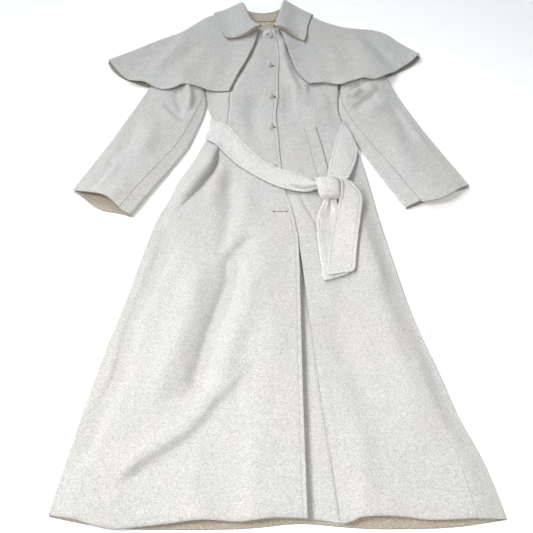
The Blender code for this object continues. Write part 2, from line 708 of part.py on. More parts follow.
# Top of each belt stretch on the fronts.  Columns: upper edge x, y; lower edge x, y; how far the
# stretch is raised at the upper and at the lower edge.
BELT_RIGHT_ROWS = [
    (-118, 884, -132, 828, 0.0, 0.0), (-89, 866, -111, 803, 0.0, 0.0), (-67, 834, -79, 764, 0.0, 0.0),
    (-36, 794, -44, 729, 0.0, 0.0), (-3, 761, -8, 704, 0.0, 0.0), (19, 744, 19, 687, 0.5, 0.0),
    (47, 731, 46, 676, 2.0, 0.5), (74, 729, 68, 670, 4.0, 2.0), (96, 717, 92, 670, 5.0, 3.0),
    (112, 702, 114, 662, 4.0, 3.0), (124, 696, 126, 664, 3.0, 2.0),
]
BELT_LEFT_ROWS = [
    (170, 868, 197, 800, 0.0, 0.0), (158, 824, 198, 770, 1.0, 0.0), (147, 780, 194, 744, 3.0, 2.0),
    (139, 738, 188, 724, 6.0, 5.0), (137, 712, 176, 708, 8.0, 8.0),
]
BELT_TAIL_FRONT_ROWS = [
    (166, 704, 171, 715, 18.0, 24.0), (168, 695, 183, 706, 17.0, 21.0), (170, 682, 197, 692, 13.0, 15.0),
    (167, 664, 205, 672, 10.0, 11.0), (159, 644, 208, 652, 8.0, 8.0), (150, 615, 204, 622, 7.0, 7.0),
    (143, 582, 198, 584, 6.5, 6.0), (136, 550, 193, 552, 6.0, 6.0), (130, 515, 188, 519, 6.0, 6.0),
    (122, 469, 182, 476, 6.0, 6.0),
]
BELT_TAIL_BACK_ROWS = [
    (124, 656, 148, 656, 5.0, 5.0), (117, 636, 155, 634, 1.6, 1.6), (110, 612, 162, 610, 0.0, 0.0),
    (108, 574, 164, 574, 0.0, 0.0), (110, 540, 164, 542, 0.0, 0.0), (112, 505, 165, 512, 0.0, 0.0),
    (114, 449, 167, 466, 0.0, 0.0),
]


def ribbon(table, along, across):
    """Rows of points on the fronts between a table's two edges."""
    steps = shares(len(table) - 1)
    columns = [smooth(list(zip(steps, column))) for column in zip(*table)]
    rows = []
    for share in shares(along):
        x0, y0, x1, y1, rise0, rise1 = [column(share) for column in columns]
        row = []
        for part in shares(across):
            x, y = mix(x0, x1, part), mix(y0, y1, part)
            height = front_top(x, y) + BELT_RISE + BELT_CLOTH / 2 + mix(rise0, rise1, part)
            row.append((x, y, height))
        rows.append(row)
    return rows


def belt_side(outline, toward, tail):
    """The belt's turn round one side, from under the back to the top; tail is its inner x below."""
    upper, lower = BELT_Y[1], BELT_Y[0]
    rows = [[(tail, mix(upper, lower, part), BELT_CLOTH / 2) for part in shares(3)]]
    for angle in (-90, -45, 0, 45, 90):
        slope = (angle + 90) / 180
        row = []
        for part in shares(3):
            y = mix(upper - 5 * slope, lower - 7 * slope, part)
            row.append(belt_turn(outline(y), y, toward, angle))
        rows.append(row)
    return rows


def build_belt():
    right_tail, left_tail = -104, 152
    across = [mix(right_tail + SEAM, left_tail - SEAM, share) for share in shares(6)]
    behind = [[(x, mix(BELT_Y[1], BELT_Y[0], part), BELT_CLOTH / 2) for part in shares(3)] for x in across]
    wall("belt_back", behind, BELT_CLOTH, BELT_WOOL)
    right = belt_side(right_outline, 1, right_tail) + ribbon(BELT_RIGHT_ROWS, 16, 3)
    wall("belt_front_right", right, BELT_CLOTH, BELT_WOOL)
    left = belt_side(left_outline, -1, left_tail) + ribbon(BELT_LEFT_ROWS, 8, 3)
    wall("belt_front_left", left, BELT_CLOTH, BELT_WOOL)
    wall("belt_tail_back", ribbon(BELT_TAIL_BACK_ROWS, 10, 3), BELT_CLOTH, BELT_WOOL)
    wall("belt_tail_front", ribbon(BELT_TAIL_FRONT_ROWS, 14, 3), BELT_CLOTH, BELT_WOOL)


def build_knot():
    """The wrap of the knot: a band arched over the strands, tucked in at both ends."""
    rows = []
    for share in shares(10):
        angle = math.radians(mix(-5, 185, share))
        row = []
        for part in shares(4):
            x = mix(109, 159, part)
            middle_y = mix(681, 678, part)
            half = mix(25, 27, math.sin(math.pi * part))
            y = middle_y - half * math.cos(angle)
            foot = front_top(x, middle_y) + 13
            crown = 10 + 3 * math.sin(math.pi * part)
            row.append((x, y, foot + crown * math.sin(angle)))
        rows.append(row)
    return wall("belt_knot", rows, BELT_CLOTH, BELT_WOOL)


# ---------------------------------------------------------------- pocket welt and buttons

WELT_CLOTH = 3.6
WELT_ROWS = [(92, 860, 120, 862), (99, 826, 126, 826), (107, 782, 135, 786), (113, 727, 142, 748)]
BUTTON_RADIUS, BUTTON_THICKNESS = 11.5, 5.0
BUTTONS = [(4, 1193), (5, 1080), (12, 975), (15, 865), (25, 757)]
LOOSE_BUTTON = (26, 623)         # sewn to the underlap, behind its empty buttonhole
LOOSE_BUTTON_THICKNESS = 2.6


def build_welt():
    rows = []
    for x0, y0, x1, y1 in WELT_ROWS:
        row = []
        for part in shares(3):
            x, y = mix(x0, x1, part), mix(y0, y1, part)
            row.append((x, y, front_left_height(x, y) + CLOTH / 2 + 0.8 + WELT_CLOTH / 2))
        rows.append(row)
    return wall("pocket_welt_left", rows, WELT_CLOTH)


def build_button(name, x, y, z, thickness):
    """A covered button: a low dome with a rounded rim, turned about its middle."""
    dome = bmesh.new()
    bmesh.ops.create_uvsphere(dome, u_segments=16, v_segments=8, radius=1.0)
    for vert in dome.verts:
        flat = math.copysign(abs(vert.co.z) ** 1.3, vert.co.z)
        vert.co = Vector((vert.co.x * BUTTON_RADIUS, vert.co.y * BUTTON_RADIUS, flat * thickness / 2))
        vert.co = (vert.co + Vector((x - PLAN_MIDDLE[0], y - PLAN_MIDDLE[1], z))) * MM
    mesh = bpy.data.meshes.new(name)
    dome.to_mesh(mesh)
    dome.free()
    return finish(name, mesh, BUTTON_WOOL)


def build_buttons():
    for number, (x, y) in enumerate(BUTTONS, start=1):
        z = front_right_height(x, y) + CLOTH / 2 + SEAM + BUTTON_THICKNESS / 2
        build_button(f"button_{number}", x, y, z, BUTTON_THICKNESS)
    x, y = LOOSE_BUTTON
    z = body_ground(x, y) + CLOTH + UNDERLAP_LEVEL + SEAM + LOOSE_BUTTON_THICKNESS / 2
    build_button("button_6", x, y, z, LOOSE_BUTTON_THICKNESS)


def main():
    for thing in list(bpy.data.objects):
        bpy.data.objects.remove(thing, do_unlink=True)
    build_back()
    build_front_right()
    build_front_left()
    build_underlap()
    build_sleeve_under("sleeve_right_under", SLEEVE_RIGHT, 0.022)
    build_sleeve_top("sleeve_right_top", SLEEVE_RIGHT, -0.018)
    build_sleeve_under("sleeve_left_under", SLEEVE_LEFT, 0.006)
    build_sleeve_top("sleeve_left_top", SLEEVE_LEFT, -0.006)
    build_cape_back()
    build_cape_front("cape_front_right", CAPE_RIGHT)
    build_cape_front("cape_front_left", CAPE_LEFT)
    build_collar_fall()
    build_collar_stand()
    build_belt()
    build_knot()
    build_welt()
    build_buttons()


main()
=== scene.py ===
"""Cloth, folds, stitching, buttons and light for a wool coat with a shoulder cape and a tie belt.

The floor is z = 0.  X runs across the coat, Y from the hem to the collar.  The tables are in
millimetres, in the laid-out coat's own plan, with Y = 0 near the hem.  "right" and "left" are the
wearer's, so the right front lies at -X.  Every sheet of cloth is a grid moved to its middle
surface and given its thickness afterwards.
"""
import math
from bisect import bisect_right

import bmesh
import bpy
from bpy.props import FloatProperty, FloatVectorProperty, IntProperty, PointerProperty
from mathutils import Matrix, Vector, noise
from mathutils.kdtree import KDTree


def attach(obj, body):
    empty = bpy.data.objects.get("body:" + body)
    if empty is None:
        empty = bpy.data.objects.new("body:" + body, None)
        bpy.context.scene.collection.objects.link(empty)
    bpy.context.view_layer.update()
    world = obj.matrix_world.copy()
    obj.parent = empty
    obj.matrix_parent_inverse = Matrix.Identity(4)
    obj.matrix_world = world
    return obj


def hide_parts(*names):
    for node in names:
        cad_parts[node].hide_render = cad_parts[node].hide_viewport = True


bl_info = {
    "name": "Belted Cape Coat",
    "version": (1, 0, 0),
    "blender": (4, 5, 0),
    "location": "View3D > Sidebar > Coat",
    "description": "Dresses a belted wool coat's solids with cloth, folds, stitching and buttons",
    "category": "Object",
}

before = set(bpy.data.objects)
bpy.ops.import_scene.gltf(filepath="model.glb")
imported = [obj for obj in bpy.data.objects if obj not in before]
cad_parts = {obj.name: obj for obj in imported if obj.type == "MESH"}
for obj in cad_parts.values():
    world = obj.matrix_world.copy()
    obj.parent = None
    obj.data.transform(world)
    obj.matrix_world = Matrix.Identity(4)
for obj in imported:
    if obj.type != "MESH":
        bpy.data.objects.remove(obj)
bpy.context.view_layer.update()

MM = 0.001
PLAN_MIDDLE = (11.19, 656.17)    # where the middle of the coat's box lies in the plan
SETTLE = 0.04                    # the floor level of the lowest layer

# Thicknesses of the layers that the heights are stacked by.
CLOTH, CAPE_CLOTH, COLLAR_CLOTH, BELT_CLOTH, SEAM = 2.4, 3.2, 3.2, 4.4, 0.4
LAYER = CLOTH + SEAM


# ---------------------------------------------------------------- properties

def length(name, description, default, low, high):
    return FloatProperty(name=name, description=description, default=default, min=low, max=high,
                         subtype="DISTANCE", unit="LENGTH", precision=4)


def factor(name, description, default, high=1.0):
    return FloatProperty(name=name, description=description, default=default, min=0.0, max=high,
                         subtype="FACTOR")


def power(name, description, default):
    return FloatProperty(name=name, description=description, default=default, min=0.0,
                         subtype="POWER", unit="POWER")


def colour(name, description, default):
    return FloatVectorProperty(name=name, description=description, default=default, size=4, min=0.0,
                               max=1.0, subtype="COLOR")


class CoatSizes(bpy.types.PropertyGroup):
    """Sizes of the coat's cloth and trim."""
    cloth: length("Cloth", "Thickness of the coating wool", 0.0021, 0.001, 0.0024)
    cape_cloth: length("Cape cloth", "Thickness of the cape and collar", 0.0029, 0.0015, 0.0032)
    belt_cloth: length("Belt", "Thickness of the belt, a tube pressed flat", 0.0040, 0.002, 0.0044)
    folds: factor("Folds", "Strength of the large folds", 1.25, 1.5)
    ripple: length("Ripple", "Height of the cloth's small unevenness", 0.0005, 0.0, 0.002)
    stitch_inset: length("Stitch inset", "Distance of stitches from an edge", 0.0070, 0.003, 0.02)
    stitch_length: length("Stitch length", "Length of one topstitch", 0.0036, 0.001, 0.01)
    button_width: length("Button width", "Width of a covered button", 0.0225, 0.01, 0.03)
    button_height: length("Button height", "Height of a covered button", 0.0064, 0.003, 0.01)
    grain: IntProperty(name="Grain", description="Subdivision levels of the cloth", default=1,
                       min=0, max=2)


class CoatColours(bpy.types.PropertyGroup):
    """Colours of the coat."""
    wool: colour("Wool", "Heathered wool, middle tone", (0.466, 0.461, 0.451, 1.0))
    wool_dark: colour("Wool dark fibres", "Dark fibres in the wool", (0.250, 0.246, 0.241, 1.0))
    wool_pale: colour("Wool pale fibres", "Pale fibres in the wool", (0.646, 0.638, 0.620, 1.0))
    belt: colour("Belt", "The belt's wool, middle tone", (0.590, 0.584, 0.566, 1.0))
    # The cape's inner side is painted dark brown on the same wool: painted shadow under the cape
    # and its edges.
    cape_inside_shade: colour("Cape inside", "The cape's inner side, in its own shade",
                        (0.235, 0.210, 0.178, 1.0))
    # The inner side's darker tan tone is painted warm shade; the real inner side is the same wool
    # as the outer.
    inside: colour("Inside", "The wool's inner side and turned edges", (0.385, 0.324, 0.250, 1.0))
    # Near black for the buttonhole openings: painted shadow, not a cloth of its own.
    hollow: colour("Hollow", "Cloth deep inside a buttonhole", (0.060, 0.045, 0.035, 1.0))
    thread: colour("Thread", "Buttonhole thread", (0.330, 0.310, 0.280, 1.0))


class CoatStage(bpy.types.PropertyGroup):
    """Floor, light and camera."""
    floor: colour("Floor", "Plain pale floor", (0.985, 0.985, 0.985, 1.0))
    key: power("Key light", "Power of the soft light over the skirt", 7.6)
    side: power("Side light", "Power of the large light at the upper left", 210.0)
    fill: power("Fill light", "Power of the light beside the camera", 22.0)
    sky: factor("Sky", "Brightness of the even light all round", 0.19, 3.0)
    camera_height: length("Camera height", "Height of the camera over the floor", 1.10, 0.5, 3.0)
    camera_tilt: FloatProperty(name="Camera tilt", default=math.radians(30.32), min=0.0,
                               description="Camera's turn up from straight down",
                               max=math.radians(90), subtype="ANGLE", unit="ROTATION")
    camera_lens: FloatProperty(name="Camera lens", description="Focal length on a 36 mm sensor",
                               default=41.13, min=10.0, max=200.0, subtype="DISTANCE_CAMERA",
                               unit="CAMERA")


def sizes():
    return bpy.context.scene.coat_sizes


def colours():
    return bpy.context.scene.coat_colours


# ---------------------------------------------------------------- curves and heights

def slopes_of(keys, values):
    """The slope at each row of a table, gentle enough that the curve never swings past its rows."""
    chords = [(values[i + 1] - values[i]) / (keys[i + 1] - keys[i]) for i in range(len(keys) - 1)]
    slopes = [chords[0]]
    for before, after in zip(chords, chords[1:]):
        slopes.append(2 * before * after / (before + after) if before * after > 0 else 0.0)
    return slopes + [chords[-1]]


def smooth(table):
    """A smooth function through the (key, value) rows of a table, held level past its ends."""
    rows = sorted(table)
    keys, values = [row[0] for row in rows], [row[1] for row in rows]
    slopes = slopes_of(keys, values)

    def at(key):
        if key <= keys[0]:
            return values[0]
        if key >= keys[-1]:
            return values[-1]
        i = bisect_right(keys, key) - 1
        span = keys[i + 1] - keys[i]
        t = (key - keys[i]) / span
        return ((2 * t ** 3 - 3 * t ** 2 + 1) * values[i]
                + (t ** 3 - 2 * t ** 2 + t) * span * slopes[i]
                + (3 * t ** 2 - 2 * t ** 3) * values[i + 1]
                + (t ** 3 - t ** 2) * span * slopes[i + 1])
    return at


def stations(table):
    """Smooth columns of a table whose rows are evenly spaced from 0 to 1."""
    steps = shares(len(table) - 1)
    columns = [smooth(list(zip(steps, column))) for column in zip(*table)]
    return lambda share: [column(share) for column in columns]


def path(points):
    """A smooth path through points, as a function of the share of its length."""
    spots = [Vector(p) for p in points]
    lengths = [0.0]
    for here, there in zip(spots, spots[1:]):
        lengths.append(lengths[-1] + (there - here).length)
    parts = [run / lengths[-1] for run in lengths]
    axes = [smooth(list(zip(parts, places))) for places in zip(*spots)]
    return lambda share: Vector([axis(share) for axis in axes])


def ease(low, high, value):
    """0 below low, 1 above high, and a soft step between them."""
    t = min(max((value - low) / (high - low), 0.0), 1.0)
    return t * t * (3 - 2 * t)


def mix(a, b, share):
    return a + (b - a) * share


def shares(count):
    """Even shares from 0 to 1, in count steps."""
    return [i / count for i in range(count + 1)]


def grid_of(down, across, spot):
    """Rows of points; spot is given the share down the sheet and the share across it."""
    return [[spot(share, part) for part in shares(across)] for share in shares(down)]


FLUTE_REACH, FLUTE_FADE = 3, (-0.15, 0.25)  # in half widths of a flute; in shares of its length
FOLD_REACH, LINE_STEP = 2.4, 60             # in spreads of a fold; the longest step of its line
RIPPLE_LENGTH, FINE_RIPPLE, FINE_SHARE = 46.0, 2.3, 0.4


def fold_height(x, y, folds):
    """The sum of soft ridges (height over 0) and troughs (under 0), each along its own line."""
    total = 0.0
    for x0, y0, x1, y1, half_width, height in folds:
        dx, dy = x1 - x0, y1 - y0
        run = math.hypot(dx, dy)
        across = ((x - x0) * dy - (y - y0) * dx) / run
        if abs(across) > FLUTE_REACH * half_width:
            continue
        along = ((x - x0) * dx + (y - y0) * dy) / run
        start, full = FLUTE_FADE[0] * run, FLUTE_FADE[1] * run
        fade = ease(start, full, along) * ease(start, full, run - along)
        total += height * fade * math.exp(-(across / half_width) ** 2)
    return total


def beside(x, y, line):
    """Distance from a line of points (over 0 at the viewer's left of a line drawn downwards), the
    nearest point's place along it, and the line's length."""
    nearest, side, place, run = math.inf, 1.0, 0.0, 0.0
    for (x0, y0), (x1, y1) in zip(line, line[1:]):
        dx, dy = x1 - x0, y1 - y0
        step = math.hypot(dx, dy)
        t = min(max(((x - x0) * dx + (y - y0) * dy) / step ** 2, 0.0), 1.0)
        px, py = x - x0 - dx * t, y - y0 - dy * t
        distance = math.hypot(px, py)
        if distance < nearest:
            nearest, place = distance, run + t * step
            side = 1.0 if px * dy - py * dx >= 0 else -1.0
        run += step
    return nearest * side, place, run


def relief(x, y, folds):
    """The height of folds over and under the plain cloth: soft ridges and valleys, and sharp
    creases, which are a narrow slot between two ridges and may widen towards their lower end."""
    total = 0.0
    for line, left, right, slot, spread, fade_in, fade_out, *widening in folds:
        reach = FOLD_REACH * spread
        if y > line[0][1] + reach or y < line[-1][1] - reach:
            continue
        if min(abs(x - px) for px, _ in line) > reach + LINE_STEP:
            continue
        away, along, run = beside(x, y, line)
        if abs(away) > reach:
            continue
        height = (left if away > 0 else right) * math.exp(-(away / spread) ** 2)
        if slot:
            wide = slot * (1 + sum(widening) * (along / run) ** 2)
            height *= 1 - math.exp(-abs(away) / wide)
        total += height * ease(-1, fade_in, along) * ease(-1, fade_out, run - along)
    return total


def soft(line, height, spread, fade_in, fade_out):
    """A soft ridge for relief, or a valley where its height is under 0: alike on both sides."""
    return line, height, height, 0, spread, fade_in, fade_out


def ripple(x, y, seed):
    """Small soft unevenness of the cloth, in millimetres."""
    x, y = x / RIPPLE_LENGTH, y / RIPPLE_LENGTH
    coarse = noise.noise(Vector((x, y, seed)))
    fine = noise.noise(Vector((x * FINE_RIPPLE, y * FINE_RIPPLE, seed + 5)))
    return sizes().ripple / MM * (coarse + FINE_SHARE * fine)


# ---------------------------------------------------------------- the plan of the coat
# Outlines: each table's columns are y, x or x, y, as its name says.

RIGHT_OUTLINE_X = [  # y, x of the coat's edge on the wearer's right, shoulder to hem
    (1222, -190), (1092, -168), (962, -146), (937, -143), (904, -134), (892, -131), (870, -131),
    (850, -137), (838, -141), (830, -144), (801, -157), (756, -178), (712, -200), (657, -219),
    (603, -241), (524, -260), (426, -281), (294, -313), (158, -341), (0, -369)]
LEFT_OUTLINE_X = [   # y, x of the coat's edge on the wearer's left
    (1212, 207), (1094, 192), (976, 177), (935, 175), (895, 180), (850, 197), (820, 206),
    (797, 215), (714, 231), (631, 243), (501, 266), (376, 291), (340, 301), (261, 326), (165, 353),
    (121, 372), (71, 388), (0, 404)]
SIDE_SEAM_IN = [     # y, how far the left side seam lies in from the edge, on top
    (1222, 3), (370, 3), (330, 5), (273, 10), (206, 20), (156, 29), (108, 40), (46, 46), (0, 48)]
FRONT_EDGE_X = [     # y, x of the right front's buttonhole edge, which is on top
    (1222, 22), (1159, 30), (1100, 32), (1030, 29), (977, 29), (907, 23), (843, 27), (778, 31),
    (743, 35), (680, 41), (650, 49), (623, 56), (596, 61), (550, 67), (503, 68), (203, 67), (0, 68)]
LEFT_EDGE_X = [      # y, x of the left front's own edge: hidden down to y 580, then a pressed fold
    (1222, 6), (1100, 16), (900, 8), (743, 20), (650, 36), (600, 50), (572, 62), (519, 71),
    (402, 82), (309, 91), (189, 102), (96, 113), (0, 124)]
UNDERLAP_DEPTH, UNDERLAP_LAP = 66, 30

BACK_TOP_Y = [(-190, 1222), (-130, 1248), (-84, 1270), (-50, 1262), (10, 1257), (70, 1262),
              (100, 1266), (150, 1238), (207, 1212)]
FRONT_TOP_Y = [(-190, 1220), (-130, 1246), (-84, 1267), (-62, 1244), (-30, 1226), (10, 1218),
               (50, 1226), (78, 1244), (100, 1263), (150, 1236), (207, 1210)]
BACK_HEM_Y = [(-369, 4), (-278, -12), (-194, -17), (-111, -17), (-28, -15), (19, -10), (56, -7),
              (131, -13), (194, -16), (298, -14), (404, -1)]
FRONT_HEM_Y = [(-369, 6), (-319, -2), (-281, -13), (-249, -17), (-217, -14), (-185, -11), (-98, -3),
               (-46, -6), (19, 0), (63, -1), (112, -6), (126, -9), (140, -6), (160, 1), (190, 3),
               (224, 2), (278, -3), (355, 0), (404, 1)]
HEM_LIFT = [(-369, 0), (-280, 1), (-225, 0.5), (-160, 3.5), (-98, 5), (-46, 3), (19, 4), (63, 1.5),
            (126, 2), (145, 4), (170, 7), (200, 7), (235, 4), (265, 3), (310, 4), (360, 2),
            (402, 0)]
SHOULDER_Y, TOP_BLEND, HEM_BLEND = 1240, 190, 120

right_outline, left_outline = smooth(RIGHT_OUTLINE_X), smooth(LEFT_OUTLINE_X)
front_edge, left_edge = smooth(FRONT_EDGE_X), smooth(LEFT_EDGE_X)
side_seam_in = smooth(SIDE_SEAM_IN)
back_top, back_hem = smooth(BACK_TOP_Y), smooth(BACK_HEM_Y)
front_neckline, front_hem = smooth(FRONT_TOP_Y), smooth(FRONT_HEM_Y)
hem_lift = smooth(HEM_LIFT)

# Folds of the fronts.  Each: its line of x, y from the upper end; height on the viewer's left and
# right of it (under 0 for a valley); the width of the slot between two ridges, 0 where there is
# none; how far the fold reaches to either side; how far it fades in from its ends; and, for some,
# how many times over the slot widens towards the lower end.  A soft fold has one height, no slot.
DEEP_TUCK = [(-101, 830), (-111, 798), (-115, 758), (-122, 737), (-149, 689), (-185, 640),
             (-222, 597)]
BODICE_PLEAT = [(-90, 1016), (-89, 975), (-90, 930), (-92, 890), (-93, 872)]
SKIRT_FOLDS = [
    (DEEP_TUCK, 26.0, 4.0, 3.6, 38, 85, 130, 5),
    soft([(-96, 790), (-104, 731), (-118, 663), (-122, 600)], 4.0, 17, 40, 60),
    soft([(-82, 753), (-79, 642), (-88, 561), (-94, 511)], -5.0, 17, 60, 30),
    soft([(-50, 700), (-46, 600), (-58, 560)], 3.4, 20, 50, 40),
    ([(-30, 566), (-58, 545), (-96, 506)], 6.5, -8.0, 11, 22, 26, 30),
    soft([(-74, 520), (-68, 454), (-80, 413), (-101, 345), (-121, 253), (-144, 200)],
         -13.0, 19, 30, 60),
    soft([(-36, 500), (-40, 400), (-68, 300), (-104, 220)], 7.0, 26, 70, 70),
    soft([(-134, 520), (-150, 400), (-180, 280), (-214, 170)], 8.5, 30, 80, 80),
    ([(26, 304), (-20, 272), (-55, 232), (-92, 194), (-114, 162), (-141, 134), (-183, 107),
      (-215, 88), (-246, 62), (-266, 44)], 8.5, -2.6, 14, 31, 150, 60, -0.8),
    soft([(-234, 600), (-213, 528), (-238, 454), (-267, 374), (-280, 246), (-314, 177),
          (-334, 70)], -11.0, 22, 60, 60),
    soft([(-236, 530), (-254, 454), (-280, 360), (-298, 246), (-330, 160), (-348, 80)],
         3.6, 20, 60, 60),
    soft([(-150, 90), (-120, 30), (-110, -20)], 3.0, 26, 50, 10),
    soft([(-20, 150), (-30, 60), (-24, -20)], 2.4, 34, 60, 10),
    soft([(10, 600), (0, 480), (14, 330), (8, 200)], 3.0, 30, 80, 80),
    ([(70, 676), (86, 636), (106, 592), (116, 545)], 5.0, 3.4, 5, 26, 14, 60),
    soft([(118, 404), (140, 320), (188, 136)], -4.4, 30, 60, 60),
    soft([(206, 500), (250, 330), (290, 120)], 5.0, 36, 80, 80),
    soft([(186, 640), (215, 520), (236, 420)], 4.0, 22, 60, 60),
    soft([(236, 470), (262, 360), (282, 250)], -3.0, 16, 50, 50),
    soft([(150, 300), (168, 160), (176, 20)], 3.0, 26, 60, 30),
]
BODICE_FOLDS = [
    (BODICE_PLEAT, 4.8, 5.2, 1.6, 20, 12, 3),
    soft([(40, 1185), (44, 1109), (56, 1050), (72, 1005), (78, 950)], 6.0, 11, 40, 60),
    soft([(58, 1000), (54, 940), (50, 880)], -4.5, 14, 40, 60),
    soft([(98, 1110), (96, 1010), (92, 920)], 3.4, 17, 50, 60),
    ([(114, 1030), (131, 1003), (147, 972), (162, 935), (174, 903)], 1.0, -3.4, 5, 17, 20, 12),
    soft([(-60, 1000), (-66, 900), (-60, 850)], 2.6, 20, 40, 30),
    soft([(-24, 980), (-34, 900), (-14, 800)], -2.6, 17, 40, 40),
    soft([(-8, 1120), (-30, 1030)], 2.2, 18, 40, 40),
    soft([(120, 960), (112, 900), (126, 850)], 2.4, 22, 40, 30),
    soft([(70, 860), (84, 790), (96, 740)], 2.0, 20, 40, 30),
]
BODICE_LOFT = 3.4
SKIRT_LOFT, EDGE_RADIUS = 5.8, 2.0
DEEPEST = 1.2                    # how far a valley of the fronts sinks below their flat height

# The cape's outlines, x, y: its shoulder and front from the neck outward, its neck and hem from the
# shoulder.
CAPE_RIGHT = {
    "shoulder": [(-96, 1281), (-137, 1277), (-154, 1272), (-185, 1249), (-226, 1216), (-283, 1185),
                 (-350, 1143), (-411, 1108)],
    "neck": [(-96, 1281), (-88, 1256), (-62, 1231), (-21, 1219)],
    "front": [(-21, 1219), (-29, 1166), (-50, 1098), (-79, 1029), (-93, 987)],
    "hem": [(-411, 1108), (-381, 1068), (-341, 1030), (-313, 1025), (-289, 1008), (-251, 990),
            (-232, 990), (-206, 1003), (-171, 1001), (-140, 990), (-93, 987)]}
CAPE_LEFT = {
    "shoulder": [(104, 1280), (124, 1270), (150, 1253), (180, 1241), (222, 1229), (275, 1225),
                 (302, 1217), (322, 1205), (349, 1175), (400, 1129)],
    "neck": [(104, 1280), (92, 1256), (66, 1231), (30, 1217)],
    "front": [(30, 1217), (40, 1190), (51, 1155), (61, 1109), (80, 1050), (106, 1015)],
    "hem": [(400, 1129), (372, 1100), (337, 1072), (318, 1054), (297, 1040), (270, 1027),
            (238, 1025), (209, 1015), (189, 1009), (169, 1013), (149, 1018), (106, 1015)]}
CAPE_TOP_Y = [(-411, 1109), (-350, 1143), (-283, 1185), (-226, 1215), (-185, 1248), (-160, 1262),
              (-140, 1260), (-118, 1254), (-90, 1252), (-50, 1252), (10, 1250), (70, 1252),
              (100, 1253), (124, 1254), (150, 1250), (180, 1240), (222, 1228), (275, 1224),
              (302, 1216), (322, 1204), (349, 1174), (400, 1128)]
CAPE_BACK_HEM_Y = [(-412, 1104), (-400, 1080), (-371, 1050), (-341, 1033), (-296, 1014),
                   (-200, 1002), (10, 998), (200, 1008), (324, 1058), (338, 1067), (373, 1089),
                   (394, 1111), (401, 1124)]
CAPE_FLUTES = [
    (-200, 1170, -345, 1022, 18, 3.2), (-180, 1150, -300, 1000, 16, -1.8),
    (-150, 1150, -240, 985, 20, 3.0), (-120, 1120, -155, 985, 18, 2.4),
    (230, 1170, 292, 1030, 18, 3.0), (170, 1150, 188, 1005, 18, 2.4),
    (120, 1110, 145, 1012, 16, 1.6), (300, 1180, 352, 1080, 16, 2.4)]
LIFTS = [  # where the cape's edges stand off what they lie on: x, y, reach, height
    (-196, 1003, 34, 8.0), (-232, 988, 22, 2.0), (205, 1014, 20, 8.0), (242, 1024, 18, 7.5),
    (-330, 1026, 26, 3.0), (128, 1016, 26, 1.5), (42, 1190, 20, 5.0), (54, 1150, 22, 6.0),
    (66, 1104, 24, 6.0), (84, 1052, 24, 4.5), (-31, 1170, 20, 2.4), (-45, 1118, 24, 3.0),
    (-68, 1060, 26, 2.6), (-92, 994, 20, 2.4), (-398, 1096, 16, 5.0), (390, 1120, 16, 5.0)]
CAPE_EDGE_TURN, SLEEVE_RISE = 14, 3.6
cape_gap_right = smooth([(y, x) for x, y in CAPE_RIGHT["front"]])
cape_gap_left = smooth([(y, x) for x, y in CAPE_LEFT["front"]])
cape_top, cape_back_hem = smooth(CAPE_TOP_Y), smooth(CAPE_BACK_HEM_Y)
COLLAR_LIFT, CAPE_LIFT, BELT_LIFT = COLLAR_CLOTH + SEAM, CAPE_CLOTH + SEAM + 0.2, BELT_CLOTH + SEAM
BELT_Y = (832, 897)              # lower and upper edge of the belt behind the back

# Sleeve stations from the armhole to the cuff: outer edge x, y; inner edge x, y; how far the
# forearm seam lies in from the inner edge; edge radius; loft of the top over the under sleeve.
SLEEVE_RIGHT = [
    (-195.4, 1218, -148.0, 960, 22, 2.2, 0.0), (-240.0, 1118, -151.0, 927, 23, 2.4, 2.0),
    (-288.0, 1015, -163.0, 878, 23, 2.7, 4.0), (-325.0, 935, -187.0, 806, 25, 3.0, 5.0),
    (-362.0, 845, -217.0, 752, 27, 3.5, 6.0), (-397.0, 768, -252.0, 693, 28, 4.5, 6.0),
    (-441.0, 674, -303.0, 604, 25, 6.0, 9.0)]
SLEEVE_LEFT = [
    (212.4, 1209, 178.4, 973, 18, 2.2, 0.0), (258.0, 1128, 176.8, 936, 19, 2.4, 2.0),
    (303.0, 1040, 185.0, 893, 22, 2.6, 4.0), (335.0, 960, 207.0, 838, 24, 2.8, 4.0),
    (372.0, 873, 232.0, 783, 28, 3.2, 5.0), (415.0, 785, 262.0, 723, 32, 3.8, 5.0),
    (464.0, 687, 314.0, 624, 33, 4.8, 6.0)]
SLEEVE_FOLDS = [  # as the folds of the fronts
    soft([(-318, 960), (-324, 931), (-327, 839), (-346, 780)], -5.8, 17, 40, 40),
    soft([(-292, 1000), (-303, 931)], -3.6, 14, 24, 30),
    ([(-258, 944), (-245, 931), (-225, 909), (-204, 892)], 4.0, -4.6, 4, 13, 12, 14),
    soft([(-268, 900), (-276, 830), (-300, 760)], 4.8, 22, 40, 50),
    soft([(-230, 985), (-212, 940), (-205, 910)], -4.2, 10, 14, 20),
    soft([(-198, 1010), (-187, 965), (-190, 925)], 7.0, 9, 6, 24),
    soft([(-356, 860), (-372, 800), (-385, 770)], 3.8, 16, 30, 30),
    ([(-392, 786), (-372, 770), (-346, 752)], 3.4, -4.2, 5, 15, 10, 20),
    ([(-344, 760), (-367, 712), (-384, 682)], -4.2, 3.6, 5, 16, 12, 12),
    soft([(-300, 720), (-330, 680), (-350, 640)], 2.6, 20, 30, 20),
    soft([(240, 1018), (219, 996), (203, 986), (187, 990)], -5.0, 8, 10, 4),
    soft([(234, 1000), (214, 976), (194, 974)], 6.0, 8, 12, 3),
    soft([(252, 1018), (262, 1000), (268, 985)], 4.0, 10, 10, 14),
    soft([(276, 984), (262, 972), (241, 956), (211, 922)], -5.5, 11, 20, 26),
    soft([(300, 960), (262, 930), (236, 896)], 2.8, 14, 24, 26),
    soft([(314, 960), (323, 899), (337, 855), (331, 800)], -3.2, 19, 40, 50),
    soft([(350, 900), (372, 840), (390, 790)], 2.4, 18, 40, 40),
    soft([(292, 860), (310, 790), (340, 720)], 2.6, 22, 40, 50)]
